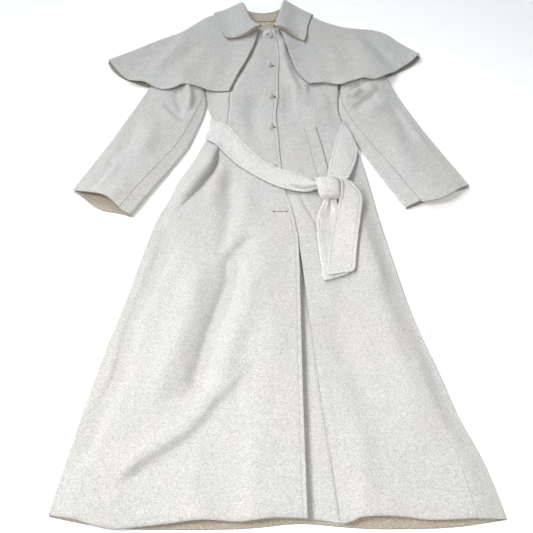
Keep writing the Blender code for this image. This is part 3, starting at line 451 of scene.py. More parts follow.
PUFF, FOLD_STRENGTH = 3.0, 1.45  # extra loft of the sleeves' tops; strength of their folds
CUFF_SHARE = 0.978               # where the cuff's sides end; its under layer runs on to 1
# Soft steps of the sleeves: across them from the outer edge, and down them from the armhole.
FOLDS_OUTER, FOLDS_INNER, PUFF_OUTER, PUFF_INNER = (0.0, 0.22), (1.0, 0.9), (0.0, 0.16), (1.0, 0.84)
PUFF_TOP, CUFF_BULGE = (0.0, 0.12), (0.8, 1.0)
right_sleeve_reach = smooth([(row[1], row[0]) for row in SLEEVE_RIGHT])
left_sleeve_reach = smooth([(row[1], row[0]) for row in SLEEVE_LEFT])

UNDERLAP_LEVEL = 3.3             # of the underlap over the back, middle to middle
LEFT_ON_LAP = UNDERLAP_LEVEL + LAYER - 2 * EDGE_RADIUS
RIGHT_ON_LAP = LEFT_ON_LAP + LAYER

# Soft steps for ease, each from where a layer lies low to where it is fully lifted: by the plan's
# y, or by a distance in plan.
COLLAR_BELOW_Y, COLLAR_BELOW_X, COLLAR_MIDDLE_X = (1120, 1225), (215, 138), -10
CAPE_BELOW = (84, 24)            # below the hem of the cape's back
BELT_BELOW_Y, BELT_PAST_Y = (BELT_Y[0] - 56, BELT_Y[0] - 8), (BELT_Y[1] + 48, BELT_Y[1] + 8)
OPEN_RIGHT, OPEN_LEFT = (4, 20), (-5, 9)              # in from the cape's two front edges
OPEN_HEM_Y, OPEN_NECK_Y, OPEN_BELT_Y = (1000, 972), (1200, 1150), (740, 800)
HEM_STANDS, HEM_ROLLS = (70, 4), (8, -1)              # above the hem
FOLDS_INSET, TUCK_INSET = (5, 42), (0, 20)            # in from the coat's sides
SKIRT_FLOOR_Y, SKIRT_LOFT_Y, SKIRT_FOLDS_Y = (800, 700), (830, 640), (806, 720)
LEFT_ONTO_LAP, RIGHT_ONTO_LAP = (46, 6), (-60, -10)   # past the underlap's left and right edges
TOP_PAST_EDGE = (2, 34)                               # past the right front's edge
CAPE_ONTO_LAP, CAPE_PAST_EDGE, CAPE_PAST_LAP = (-64, -12), (6, 46), (2, 50)
CAPE_ONTO_BODY, CAPE_ONTO_SLEEVE = (-48, -4), (-12, -60)
HEM_ROLL, COLLAR_SLACK, STACK_SLACK, CAPE_LOFT, CAPE_DIP = 2.4, 0.8, 1.6, 2.2, -0.3


def step_past(edge, start, full, x):
    """A soft step that is placed by its distances past an edge."""
    return ease(edge + start, edge + full, x)


def over_collar(x, y):
    """1 over the collar's fall behind the neck, easing to 0 round it."""
    return ease(*COLLAR_BELOW_Y, y) * ease(*COLLAR_BELOW_X, abs(x - COLLAR_MIDDLE_X))


def ground(x, y):
    """The height of what the coat's back and sleeves lie on: the cape's back and the collar."""
    over_cape = ease(*CAPE_BELOW, cape_back_hem(x) - y)
    return (COLLAR_LIFT + COLLAR_SLACK) * over_collar(x, y) + CAPE_LIFT * over_cape


def body_ground(x, y):
    """The ground of the coat's body, which also lies on the belt behind the waist."""
    return ground(x, y) + BELT_LIFT * (ease(*BELT_BELOW_Y, y) * ease(*BELT_PAST_Y, y))


def body_y(x, nominal, top, hem):
    """A body row's y at x: bent to the shoulder line near the top and to the hem at the bottom."""
    up = ease(SHOULDER_Y - TOP_BLEND, SHOULDER_Y, nominal)
    return nominal + up * (top(x) - SHOULDER_Y) + ease(HEM_BLEND, 0, nominal) * hem(x)


def edge_x(outline, nominal, top, hem):
    """Where a bent body row meets an outline."""
    x = outline(nominal)
    for _ in range(3):
        x = outline(body_y(x, nominal, top, hem))
    return x


def open_bodice(x, y):
    """1 on the part of the bodice that the cape leaves open, easing to 0 under the cape."""
    between = ease(*OPEN_RIGHT, x - cape_gap_right(y)) * ease(*OPEN_LEFT, cape_gap_left(y) - x)
    return max(ease(*OPEN_HEM_Y, y), between * ease(*OPEN_NECK_Y, y)) * ease(*OPEN_BELT_Y, y)


def hem_rise(x, y):
    """How far the fronts' hem stands off the back, and rolls down at its very edge."""
    above = y - front_hem(x)
    return hem_lift(x) * ease(*HEM_STANDS, above) - HEM_ROLL * ease(*HEM_ROLLS, above) ** 2


def resting(height):
    """A height of the fronts' cloth, which sinks softly onto the back in a deep valley."""
    return height if height > 0 else -DEEPEST * (1 - math.exp(height / DEEPEST))


def fronts_relief(x, y):
    """The loft, folds and creases of the fronts over the back, none at the sides."""
    inset = min(x - right_outline(y), left_outline(y) - x)
    rise = ease(*FOLDS_INSET, inset)
    low = -SKIRT_LOFT * ease(*SKIRT_FLOOR_Y, y)
    skirt = (SKIRT_LOFT * ease(*SKIRT_LOFT_Y, y)
             + relief(x, y, SKIRT_FOLDS[1:]) * ease(*SKIRT_FOLDS_Y, y))
    open_share = open_bodice(x, y)
    bodice = open_share * (BODICE_LOFT + relief(x, y, BODICE_FOLDS)) if open_share else 0.0
    lying = resting(rise * sizes().folds * (max(skirt, low) + max(bodice, 0.0)))
    tuck = relief(x, y, SKIRT_FOLDS[:1]) * ease(*TUCK_INSET, inset)
    return lying + tuck + ripple(x, y, 1) * rise + hem_rise(x, y)


def front_height(x, y, lap_height, on_lap):
    """The middle of a front, lifted by lap_height where it lies on the underlap."""
    return (body_ground(x, y) + CLOTH / 2 + 2 * EDGE_RADIUS + lap_height * on_lap
            + fronts_relief(x, y))


def front_left_height(x, y):
    on_lap = step_past(left_edge(y) + UNDERLAP_LAP, *LEFT_ONTO_LAP, x)
    return front_height(x, y, LEFT_ON_LAP, on_lap)


def front_right_height(x, y):
    """The right front also lies on the left front's edge."""
    on_lap = step_past(front_edge(y) - UNDERLAP_DEPTH, *RIGHT_ONTO_LAP, x)
    return front_height(x, y, RIGHT_ON_LAP, on_lap)


def front_top(x, y):
    """The top of whichever front lies on top, easing down past the right front's edge."""
    past = step_past(front_edge(y), *TOP_PAST_EDGE, x)
    return mix(front_right_height(x, y), front_left_height(x, y), past) + CLOTH / 2


def stack_top(x, y):
    """The top of the fronts and the sleeves where the cape's front lies on them."""
    inside = (ease(*CAPE_ONTO_BODY, x - right_sleeve_reach(y))
              * ease(*CAPE_ONTO_BODY, left_sleeve_reach(y) - x))
    edge = front_edge(y)
    on_right = step_past(edge - UNDERLAP_DEPTH, *CAPE_ONTO_LAP, x)
    past_edge = step_past(edge, *CAPE_PAST_EDGE, x)
    past_lap = step_past(left_edge(y) + UNDERLAP_LAP, *CAPE_PAST_LAP, x)
    laps = on_right * mix(RIGHT_ON_LAP, LEFT_ON_LAP * (1 - past_lap), past_edge)
    on_sleeve = max(ease(*CAPE_ONTO_SLEEVE, x - right_outline(y)),
                    ease(*CAPE_ONTO_SLEEVE, left_outline(y) - x))
    return ground(x, y) + inside * (2 * CLOTH + STACK_SLACK + laps + SLEEVE_RISE * on_sleeve)


def cape_front_height(x, y):
    """The middle of the cape's front, with its flutes and the places where its edges stand off."""
    flutes = fold_height(x, y, CAPE_FLUTES)
    for x0, y0, reach, height in LIFTS:
        flutes += height * math.exp(-((x - x0) ** 2 + (y - y0) ** 2) / reach ** 2)
    return (stack_top(x, y) + SEAM + CAPE_CLOTH / 2 + CAPE_LOFT + max(flutes, -CAPE_LOFT)
            + max(ripple(x, y, 3), CAPE_DIP))


# ---------------------------------------------------------------- sheets of cloth

TINY = 1e-6                      # metres, under which two points are one
FAR = (1.0, 0.0)                 # a UV for cloth with no stitches near


def to_frame(spot):
    return Vector((spot[0] - PLAN_MIDDLE[0], spot[1] - PLAN_MIDDLE[1], spot[2] + SETTLE)) * MM


def boundary(spots, edges):
    """The stitched edges of a grid of points, one after the other, as one line of points."""
    sides = {"top": spots[0], "right": [row[-1] for row in spots],
             "bottom": spots[-1][::-1], "left": [row[0] for row in spots][::-1]}
    line = []
    for edge in edges:
        line += sides[edge]
    return line


def distances(spots, line):
    """For each spot, its distance to a line of points, and how far along the line it lies."""
    runs = [0.0]
    for here, there in zip(line, line[1:]):
        runs.append(runs[-1] + (there - here).length)
    tree = KDTree(len(line))
    for i, spot in enumerate(line):
        tree.insert(spot, i)
    tree.balance()
    found = []
    for spot in spots:
        _, i, nearest = tree.find(spot)
        along = runs[i]
        for j in (i - 1, i):
            if 0 <= j < len(line) - 1 and (line[j + 1] - line[j]).length > TINY:
                step = line[j + 1] - line[j]
                t = min(max((spot - line[j]).dot(step) / step.length_squared, 0.0), 1.0)
                away = (line[j] + step * t - spot).length
                if away < nearest:
                    nearest, along = away, runs[j] + t * step.length
        found.append((nearest, along))
    return found


def write_uv(mesh_data, name, pairs):
    layer = mesh_data.loops.layers.uv.new(name)
    for face in mesh_data.faces:
        for loop in face.loops:
            loop[layer].uv = pairs[loop.vert.index]


EDGE_SUPPORT = 1.1 * MM


def supported(rows):
    """The same grid with one more line of points just inside each edge, so that the edge stays put
    when the cloth is smoothed."""
    def near_ends(line, between):
        first, last = between(line[0], line[1]), between(line[-1], line[-2])
        return [line[0], first] + line[1:-1] + [last, line[-1]]

    def inside(edge, inner):
        return mix(edge, inner, min(EDGE_SUPPORT / max((inner - edge).length, TINY), 0.5))

    def row_inside(edge, inner):
        return [inside(a, b) for a, b in zip(edge, inner)]
    return near_ends([near_ends(row, inside) for row in rows], row_inside)


def put_mesh(name, shape, materials):
    """An object from a finished bmesh that is already in place, in metres."""
    mesh = bpy.data.meshes.new(name)
    shape.to_mesh(mesh)
    shape.free()
    mesh.shade_smooth()
    for material in materials:
        mesh.materials.append(material)
    piece = bpy.data.objects.new(name, mesh)
    bpy.context.scene.collection.objects.link(piece)
    return piece


SEAM_POINTS = 40                 # points set along each stretch of a seam, to measure from
RIM_ROUND, RIM_ANGLE = 0.8 * MM, math.radians(58)


def cloth_sheet(name, rows, thickness, materials, stitched=(), seam=None, outer_up=True,
                fine=False, turned_ends=False):
    """A sheet of cloth about a middle surface, given as rows of plan points (x, y, z).

    stitched names the edges, in order round the sheet, that topstitching follows.  seam is a line
    of plan points x, y along which a dark line is drawn: a dark joint where the cloth is sewn, a
    painted contact shadow along a hem or cuff, painted shade in a crease.  outer_up says which way
    the cloth's outer side faces in its first rows.  A fine grid has its rim rounded and isn't
    subdivided.
    With turned_ends the first and last rows are turned edges, which show the inner side."""
    spots = supported([[to_frame(spot) for spot in row] for row in rows])
    across, along = len(spots[0]) - 1, len(spots) - 1
    grid = bmesh.new()
    bmesh.ops.create_grid(grid, x_segments=across, y_segments=along, size=1.0)
    for vert in grid.verts:
        column, row = round((vert.co.x + 1) / 2 * across), round((1 - vert.co.y) / 2 * along)
        vert.co = spots[row][column]
    grid.verts.index_update()
    grid.normal_update()
    # Turned edges take the inner side's material, whose tan tone is painted warm shade.
    if turned_ends:
        for face in grid.faces:
            rows_of_face = [vert.index // (across + 1) for vert in face.verts]
            face.material_index = int(min(rows_of_face) < 2 or max(rows_of_face) > along - 2)
    middle = across // 2
    sideways, down = spots[0][middle + 1] - spots[0][middle], spots[2][middle] - spots[0][middle]
    if (down.cross(sideways).z > 0) != outer_up:
        bmesh.ops.reverse_faces(grid, faces=grid.faces)
    every = [vert.co.copy() for vert in grid.verts]
    no_line = [FAR] * len(every)
    write_uv(grid, "stitch", distances(every, boundary(spots, stitched)) if stitched else no_line)
    sewn = no_line
    if seam:
        flat = [Vector((x - PLAN_MIDDLE[0], y - PLAN_MIDDLE[1], 0)) * MM for x, y in seam]
        dense = [mix(a, b, part) for a, b in zip(flat, flat[1:]) for part in shares(SEAM_POINTS)]
        sewn = distances([Vector((p.x, p.y, 0)) for p in every], dense)
    write_uv(grid, "seam", sewn)
    piece = put_mesh(name, grid, materials)
    shell = piece.modifiers.new("thickness", "SOLIDIFY")
    shell.thickness, shell.offset, shell.use_even_offset = thickness, 0.0, True
    shell.material_offset = len(materials) - 1
    if fine:
        rim = piece.modifiers.new("round rim", "BEVEL")
        rim.width, rim.segments = RIM_ROUND, 2
        rim.limit_method, rim.angle_limit = "ANGLE", RIM_ANGLE
        return piece
    smoothed = piece.modifiers.new("soft edges", "SUBSURF")
    smoothed.levels = smoothed.render_levels = sizes().grain
    return piece


def trim(piece, nodes=()):
    """Parent a piece to the root body, and hide the nodes of the plain solids that it replaces."""
    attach(piece, "root")
    if nodes:
        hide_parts(*nodes)


def declare(piece, nodes):
    """Trim a sheet."""
    trim(piece, nodes)


# ---------------------------------------------------------------- materials

class Nodes:
    """A material's node tree, built node by node."""

    def __init__(self, name):
        self.material = bpy.data.materials.new(name)
        self.material.use_nodes = True
        self.tree = self.material.node_tree
        self.shader = self.tree.nodes["Principled BSDF"]

    def plug(self, socket, value):
        if isinstance(value, bpy.types.NodeSocket):
            self.tree.links.new(value, socket)
        else:
            socket.default_value = value

    def finish(self, values):
        """Set or link the shader's own inputs."""
        for name, value in values.items():
            self.plug(self.shader.inputs[name], value)

    def node(self, kind, values=(), **settings):
        made = self.tree.nodes.new(kind)
        for key, value in settings.items():
            setattr(made, key, value)
        for socket, value in dict(values).items():
            self.plug(made.inputs[socket], value)
        return made

    def maths(self, operation, *values):
        made = self.node("ShaderNodeMath", operation=operation)
        for socket, value in zip(made.inputs, values):
            self.plug(socket, value)
        return made.outputs[0]

    def times(self, value, factor):
        return self.maths("MULTIPLY", value, factor)

    def noise(self, coords, scale, detail=2.0, roughness=0.5, distortion=0.0):
        values = {"Vector": coords, "Scale": scale, "Detail": detail, "Roughness": roughness,
                  "Distortion": distortion}
        return self.node("ShaderNodeTexNoise", values).outputs["Fac"]

    def spread(self, value, low, high, new_low=0.0, new_high=1.0):
        values = {"Value": value, "From Min": low, "From Max": high, "To Min": new_low,
                  "To Max": new_high}
        made = self.node("ShaderNodeMapRange", values, interpolation_type="SMOOTHSTEP")
        return made.outputs["Result"]

    def blend(self, share, one, other):
        made = self.node("ShaderNodeMix", data_type="RGBA")
        self.plug(made.inputs[0], share)
        self.plug(made.inputs[6], one)
        self.plug(made.inputs[7], other)
        return made.outputs[2]


# Marks of the stitching, by their distance in metres from a row of stitches or a seam line: from
# nothing to full; the dash of a stitch, by shares of its length; and how deep or dark each mark is.
# The dark marks are painted shade in the stitch grooves; along a seam line, a dark joint where
# cloth is sewn, a painted contact shadow at hems and cuffs, and painted shade in the belt's crease.
GROOVE, THREAD, STITCH_SHADE = (0.0022, 0.0004), (0.0007, 0.0004), (0.0012, 0.0003)
SEAM_GROOVE, SEAM_AND_SHADOW_LINE, DASH = (0.0030, 0.0), (0.0011, 0.0003), (0.44, 0.34)
GROOVE_DEPTH, THREAD_HEIGHT, SEAM_DEPTH, STITCH_DARK, SEAM_AND_SHADOW_DARK = 0.9, 0.35, 1.6, 0.16, 0.68
SEAM_AND_SHADOW_COLOUR = (0.17, 0.145, 0.12, 1.0)


def add_stitches(nodes, bump, tone):
    """Topstitching along the edges, and seam lines, as grooves with thread and painted shade."""
    size = sizes()
    stitch, seam = [nodes.node("ShaderNodeSeparateXYZ",
                               {0: nodes.node("ShaderNodeUVMap", uv_map=name).outputs[0]}).outputs
                    for name in ("stitch", "seam")]
    away = nodes.maths("ABSOLUTE", nodes.maths("SUBTRACT", stitch["X"], size.stitch_inset))
    beat = nodes.maths("FRACT", nodes.maths("DIVIDE", stitch["Y"], size.stitch_length))
    dash = nodes.spread(nodes.maths("ABSOLUTE", nodes.maths("SUBTRACT", beat, 0.5)), *DASH)
    thread = nodes.times(nodes.spread(away, *THREAD), dash)
    height = nodes.maths("SUBTRACT", bump, nodes.times(nodes.spread(away, *GROOVE), GROOVE_DEPTH))
    height = nodes.maths("ADD", height, nodes.times(thread, THREAD_HEIGHT))
    sewn = nodes.spread(seam["X"], *SEAM_GROOVE)
    height = nodes.maths("SUBTRACT", height, nodes.times(sewn, SEAM_DEPTH))
    # The darkening is painted shade in the stitch grooves; along a seam line it is a dark joint at
    # a sewn seam, painted contact shadow at a hem or cuff, and painted shade in the belt's crease.
    shade = nodes.maths("MAXIMUM", nodes.times(nodes.spread(away, *STITCH_SHADE), STITCH_DARK),
                        nodes.times(nodes.spread(seam["X"], *SEAM_AND_SHADOW_LINE), SEAM_AND_SHADOW_DARK))
    return height, nodes.blend(shade, tone, SEAM_AND_SHADOW_COLOUR)


# The wool's yarns: how each is drawn out, its turn in plan, its scale and its roughness.
YARNS = [((1.0, 0.42, 1.0), 0.12, 560.0, 0.62), ((0.4, 1.0, 1.0), -0.5, 480.0, 0.6)]
COOL, WARM = (0.985, 1.0, 1.015, 1.0), (1.02, 1.0, 0.965, 1.0)
FLECKS, CLOUDS, TINTS = (400.0, 2.0, 0.6), (60.0, 3.0, 0.6), (8.0, 2.0, 0.5)  # scale, detail, rough


def wool(name, middle, dark, pale):
    """Brushed wool: pale and dark fibres, a little clouding, nap, and stitching from the UVs."""
    nodes = Nodes(name)
    place = nodes.node("ShaderNodeTexCoord").outputs["Object"]

    def drawn(scale, turn):
        settings = {"Vector": place, "Scale": scale, "Rotation": (0.0, 0.0, turn)}
        return nodes.node("ShaderNodeMapping", settings).outputs[0]

    yarn, cross = [nodes.noise(drawn(stretch, turn), scale, 3.0, roughness, 0.3)
                   for stretch, turn, scale, roughness in YARNS]
    fleck, cloud = nodes.noise(place, *FLECKS), nodes.noise(place, *CLOUDS)
    cool, warm = [[part * share for part, share in zip(middle, tint)] for tint in (COOL, WARM)]
    tone = nodes.blend(nodes.spread(nodes.noise(place, *TINTS), 0.36, 0.64), cool, warm)
    for fibres, low, high, share, fibre_tone in (
            (cross, 0.50, 0.70, 0.60, pale), (yarn, 0.50, 0.70, 0.58, dark),
            (fleck, 0.56, 0.72, 0.72, dark), (fleck, 0.44, 0.28, 0.72, pale)):
        tone = nodes.blend(nodes.times(nodes.spread(fibres, low, high), share), tone, fibre_tone)
    tone = nodes.blend(nodes.spread(cloud, 0.35, 0.68, 0.0, 0.12), tone, dark)
    height = nodes.maths("ADD", nodes.times(yarn, 0.8), nodes.times(cross, 0.8))
    height = nodes.maths("ADD", height, nodes.times(fleck, 0.5))
    height, tone = add_stitches(nodes, height, tone)
    bump = nodes.node("ShaderNodeBump", {"Height": height, "Strength": 0.6, "Distance": 0.0009})
    nodes.finish({"Base Color": tone, "Normal": bump.outputs[0], "Specular IOR Level": 0.22,
                  "Roughness": nodes.spread(yarn, 0.3, 0.7, 0.84, 0.97), "Sheen Weight": 0.20,
                  "Sheen Roughness": 0.55})
    return nodes.material


def plain(name, tone, roughness, grain_scale, grain_share):
    """A plain finish with a slight grain, for the floor, thread and the painted shadow in
    buttonholes.
    """
    nodes = Nodes(name)
    place = nodes.node("ShaderNodeTexCoord").outputs["Object"]
    grain = nodes.noise(place, grain_scale, 3.0)
    darker = [channel * 0.8 for channel in tone[:3]] + [1.0]
    share = nodes.spread(grain, 0.35, 0.7, 0.0, grain_share)
    bump = nodes.node("ShaderNodeBump", {"Height": grain, "Strength": 0.15, "Distance": 0.0003})
    nodes.finish({"Base Color": nodes.blend(share, tuple(tone), darker), "Normal": bump.outputs[0],
                  "Roughness": roughness})
    return nodes.material


# The inner sides' tones are painted shade: a warm tan on the coat, a dark brown on the cape, all
# one wool.
WOOLS = {  # kind: the material's name
    "wool": "heathered wool", "belt": "belt wool", "inside": "wool inner side",
    "cape_inside_shade": "cape's inner side"}
PLAIN_FINISHES = {  # kind: the material's name, its roughness, the grain's scale and share
    "hollow": ("buttonhole hollow", 0.95, 900.0, 0.5),
    "thread": ("buttonhole thread", 0.7, 2400.0, 0.8), "floor": ("pale floor", 0.75, 3.0, 0.02)}
MATERIALS = {}


def finish_for(kind):
    """The material of one kind, made once."""
    if kind not in MATERIALS:
        tones = colours()
        if kind in WOOLS:
            made = wool(WOOLS[kind], getattr(tones, kind), tones.wool_dark, tones.wool_pale)
        else:
            name, *grain = PLAIN_FINISHES[kind]
            group = bpy.context.scene.coat_stage if kind == "floor" else tones
            made = plain(name, getattr(group, kind), *grain)
        MATERIALS[kind] = made
    return MATERIALS[kind]


def coat_cloth():
    return [finish_for("wool"), finish_for("inside")]


def cape_cloth():
    return [finish_for("wool"), finish_for("cape_inside_shade")]


def belt_cloth():
    return [finish_for("belt"), finish_for("belt")]


# ---------------------------------------------------------------- back and fronts

# Lines of the sheets' grids that run beside the sharpest folds, y, x; and the grid's places there.
right_guide = smooth([(1240, -95)] + [(y, x) for x, y in BODICE_PLEAT[:-1]]
                     + [(y, x) for x, y in DEEP_TUCK] + [(500, -228), (300, -246), (0, -290)])
left_guide = smooth([(1240, 112), (1020, 120), (1003, 131), (972, 147), (935, 160), (900, 166),
                     (860, 172), (700, 196), (500, 226), (300, 270), (0, 316)])
NEAR_GUIDE = (-22, -15, -10, -6.5, -4, -2, -0.6, 0.8, 2.4, 4.5, 7.5, 11.5, 16, 22)
GUIDE_ROOM = 0.8                 # the share of the way to an edge that the places may take up
JOIN_LAP = 0.5                   # how far joined cloth laps where a seam doesn't show
BACK_INSET = 1.4                 # of the back's raw edge, under the right front's turned edge
UP_ROUND, DOWN_ROUND = (-60, -30, 0, 30, 60), (8, 24, 40, 56, 73)   # angles round a turned edge


def coat_sheet(name, rows, **settings):
    """A sheet of the coat's own cloth, with a dark seam line along its last row: painted contact
    shadow at the hem or cuff.
    """
    seam = [spot[:2] for spot in rows[-1]]
    return cloth_sheet(name, rows, sizes().cloth, coat_cloth(), seam=seam, **settings)


def body_rows(count):
    return [mix(SHOULDER_Y, 0, share) for share in shares(count)]


def edge_turn(outline_x, toward, floor, angle):
    """A point of the turned edge, from the floor layer (-90 degrees) to the top layer (90)."""
    middle = outline_x + toward * (CLOTH / 2 + EDGE_RADIUS)
    radians = math.radians(angle)
    return (middle - toward * EDGE_RADIUS * math.cos(radians),
            floor + CLOTH / 2 + EDGE_RADIUS * (1 + math.sin(radians)))


def back_rows():
    """One piece, flat on what it lies on, that wraps the left edge up to the side seam."""
    rows = []
    for nominal in body_rows(76):
        right = edge_x(right_outline, nominal, back_top, back_hem)
        left = edge_x(left_outline, nominal, back_top, back_hem)
        turn_start = left - CLOTH / 2 - EDGE_RADIUS
        row = []
        for share in shares(26):
            x = mix(right + BACK_INSET, turn_start, share)
            y = body_y(x, nominal, back_top, back_hem)
            row.append((x, y, body_ground(x, y) + CLOTH / 2))
        y = body_y(left, nominal, back_top, back_hem)
        floor = body_ground(left, y)
        for angle in UP_ROUND + (90,):
            x, z = edge_turn(left, -1, floor, angle)
            row.append((x, y, z))
        inset = side_seam_in(nominal)
        for share in (0.33, 0.67, 1.0):
            x = turn_start - inset * share
            row.append((x, y, front_left_height(x, y)))
        rows.append(row)
    return rows


def guided(start, end, guide, before, after):
    """Places from start to end, close together beside a guide."""
    shrink_before = min(1.0, GUIDE_ROOM * (guide - start) / -NEAR_GUIDE[0])
    shrink_after = min(1.0, GUIDE_ROOM * (end - guide) / NEAR_GUIDE[-1])
    near = [guide + step * (shrink_before if step < 0 else shrink_after) for step in NEAR_GUIDE]
    first = [mix(start, near[0], share) for share in shares(before)[:-1]]
    return first + near + [mix(near[-1], end, share) for share in shares(after)[1:]]


def front_right_rows():
    """The right front, on top, from the side to the buttonhole edge."""
    rows = []
    for nominal in body_rows(212):
        right, edge = edge_x(right_outline, nominal, front_neckline, front_hem), front_edge(nominal)
        y = body_y(right, nominal, front_neckline, front_hem)
        floor = body_ground(right, y)
        row = []
        for angle in DOWN_ROUND:
            x, z = edge_turn(right, 1, floor, angle)
            row.append((x, y, max(z, floor + CLOTH + SEAM)))
        turn_end = right + CLOTH / 2 + EDGE_RADIUS
        for x in guided(turn_end, edge, right_guide(nominal), 24, 60):
            y = body_y(x, nominal, front_neckline, front_hem)
            row.append((x, y, front_right_height(x, y)))
        rows.append(row)
    return rows


def front_left_rows():
    """The left front, from its fold, or its hidden edge, to the side seam."""
    rows = []
    for nominal in body_rows(190):
        start, left = left_edge(nominal), edge_x(left_outline, nominal, front_neckline, front_hem)
        joined = JOIN_LAP * ease(330, 372, nominal) - SEAM * ease(372, 330, nominal)
        end = left - CLOTH / 2 - EDGE_RADIUS - side_seam_in(nominal) + joined
        row = []
        for x in guided(start, end, left_guide(nominal), 36, 14):
            y = body_y(x, nominal, front_neckline, front_hem)
            row.append((x, y, front_left_height(x, y)))
        rows.append(row)
    return rows


def underlap_rows():
    """The left front's button strip, under the right front's edge and the left front's fold."""
    def spot(share, part):
        nominal = mix(SHOULDER_Y, 0, share)
        x = mix(front_edge(nominal) - UNDERLAP_DEPTH, left_edge(nominal) + UNDERLAP_LAP, part)
        y = body_y(x, nominal, front_neckline, front_hem) - 2 * ease(1100, 1240, nominal)
        return (x, y, body_ground(x, y) + CLOTH / 2 + UNDERLAP_LEVEL)
    return grid_of(90, 14, spot)


class COAT_OT_body(bpy.types.Operator):
    """Make the coat's back, its two fronts and the strip under the front edge"""
    bl_idname = "coat.body"
    bl_label = "Back and fronts"

    def execute(self, context):
        back = coat_sheet("wool_back", back_rows(), outer_up=False)
        declare(back, ["back"])
        right = coat_sheet("wool_front_right", front_right_rows(), stitched=["right"], fine=True)
        declare(right, ["front_right"])
        left = coat_sheet("wool_front_left", front_left_rows(), fine=True)
        declare(left, ["front_left"])
        lap = coat_sheet("wool_underlap", underlap_rows())
        declare(lap, ["front_left_underlap"])
        return {"FINISHED"}


# ---------------------------------------------------------------- sleeves

RIM_INSET = 0.8                  # of the under sleeve's raw edge
TOP_SHORT, NEARBY = 0.003, 0.02  # shares: of the top, short of its seam; a step along an edge


class Sleeve:
    """A sleeve's smooth edges, seam, edge radius and loft, by the share of the way to the cuff."""

    def __init__(self, table):
        self.at = stations(table)
        self.side = 1 if table[0][0] < table[0][2] else -1

    def edge(self, share, inner):
        row = self.at(share)
        return Vector(row[2:4] if inner else row[0:2])

    def outward(self, share, inner):
        """The edge's own outward direction in plan."""
        run = self.edge(share + NEARBY, inner) - self.edge(share - NEARBY, inner)
        toward = Vector((-run.y, run.x)).normalized() * self.side
        return toward if inner else -toward

    def turn(self, share, inner, angle):
        """A point of a turned edge, from the under layer (-90 degrees) to the top layer (90)."""
        radius, radians = self.at(share)[5], math.radians(angle)
        depth = CLOTH / 2 + radius * (1 - math.cos(radians))
        spot = self.edge(share, inner) - self.outward(share, inner) * depth
        height = radius * (1 + math.sin(radians))
        return (spot.x, spot.y, ground(spot.x, spot.y) + CLOTH / 2 + height)

    def rim(self, share):
        """The under layer's raw edge, under the turned outer edge."""
        spot = self.edge(share, False) - self.outward(share, False) * RIM_INSET
        return (spot.x, spot.y, ground(spot.x, spot.y) + CLOTH / 2)

    def across(self, share, part, level, reach):
        """A point between the turned edges; level is 0 in the under layer and 1 in the top."""
        bulge = math.sin(math.pi * part) ** 2
        slid = share * (CUFF_SHARE + reach * bulge * ease(*CUFF_BULGE, share))
        radius, loft = self.at(slid)[5:7]
        inset = CLOTH / 2 + radius
        outer = self.edge(slid, False) - self.outward(slid, False) * inset
        inner = self.edge(slid, True) - self.outward(slid, True) * inset
        spot = mix(outer, inner, part)
        folds = (FOLD_STRENGTH * relief(spot.x, spot.y, SLEEVE_FOLDS) * ease(*FOLDS_OUTER, part)
                 * ease(*FOLDS_INNER, part))
        puff = PUFF * ease(*PUFF_TOP, slid) * ease(*PUFF_OUTER, part) * ease(*PUFF_INNER, part)
        lift = loft * bulge + max(puff + folds, -loft * bulge) + ripple(spot.x, spot.y, 2) * bulge
        height = (2 * radius + lift) * level
        return (spot.x, spot.y, ground(spot.x, spot.y) + CLOTH / 2 + height)

    def seam_part(self, share):
        width = (self.edge(share, True) - self.edge(share, False)).length
        return 1 - self.at(share)[4] / width

    def under_rows(self, reach):
        """The under sleeve, which wraps the inner edge up to the forearm seam."""
        rows = []
        for share in shares(78):
            at_edge = share * CUFF_SHARE
            row = [self.rim(at_edge)]
            row += [self.across(share, part, 0.0, reach) for part in shares(20)]
            row += [self.turn(at_edge, True, angle) for angle in UP_ROUND]
            seam = self.seam_part(at_edge)
            row += [self.across(share, mix(1, seam, part), 1.0, 0.0) for part in shares(4)]
            rows.append(row)
        return rows

    def top_rows(self, reach):
        """The top sleeve, from the outer edge, turned down there, to the forearm seam."""
        rows = []
        for share in shares(78):
            at_edge = share * CUFF_SHARE
            row = []
            for angle in DOWN_ROUND:
                x, y, z = self.turn(at_edge, False, angle)
                row.append((x, y, max(z, ground(x, y) + CLOTH + SEAM)))
            seam = self.seam_part(at_edge) - TOP_SHORT
            row += [self.across(share, seam * part, 1.0, reach) for part in shares(34)]
            rows.append(row)
        return rows


class COAT_OT_sleeves(bpy.types.Operator):
    """Make the two sleeves, each from a top and an under piece"""
    bl_idname = "coat.sleeves"
    bl_label = "Sleeves"

    def execute(self, context):
        for side, table, under_reach, top_reach in (("right", SLEEVE_RIGHT, 0.022, -0.018),
                                                    ("left", SLEEVE_LEFT, -0.004, 0.020)):
            sleeve = Sleeve(table)
            under = coat_sheet(f"wool_sleeve_{side}_under", sleeve.under_rows(under_reach),
                               outer_up=False)
            declare(under, [f"sleeve_{side}_under"])
            top = coat_sheet(f"wool_sleeve_{side}_top", sleeve.top_rows(top_reach))
            declare(top, [f"sleeve_{side}_top"])
        return {"FINISHED"}


# ---------------------------------------------------------------- cape

CAPE_TURN_STEPS = (0.0, 0.8, 2.0, 4.0, 7.0, 10.5, CAPE_EDGE_TURN)   # of points, in from the edge
CAPE_BACK_X = (-411, 400)


def coons(sides):
    """The plan between four paths: u from the neck to the hem, v down from the shoulder."""
    shoulder, neck = path(sides["shoulder"]), path(sides["neck"])
    front, hem = path(sides["front"]), path(sides["hem"])

    def at(u, v):
        corners = (shoulder(0) * ((1 - u) * (1 - v)) + shoulder(1) * (u * (1 - v))
                   + front(0) * ((1 - u) * v) + front(1) * (u * v))
        return shoulder(u) * (1 - v) + front(u) * v + neck(v) * (1 - u) + hem(v) * u - corners
    return at


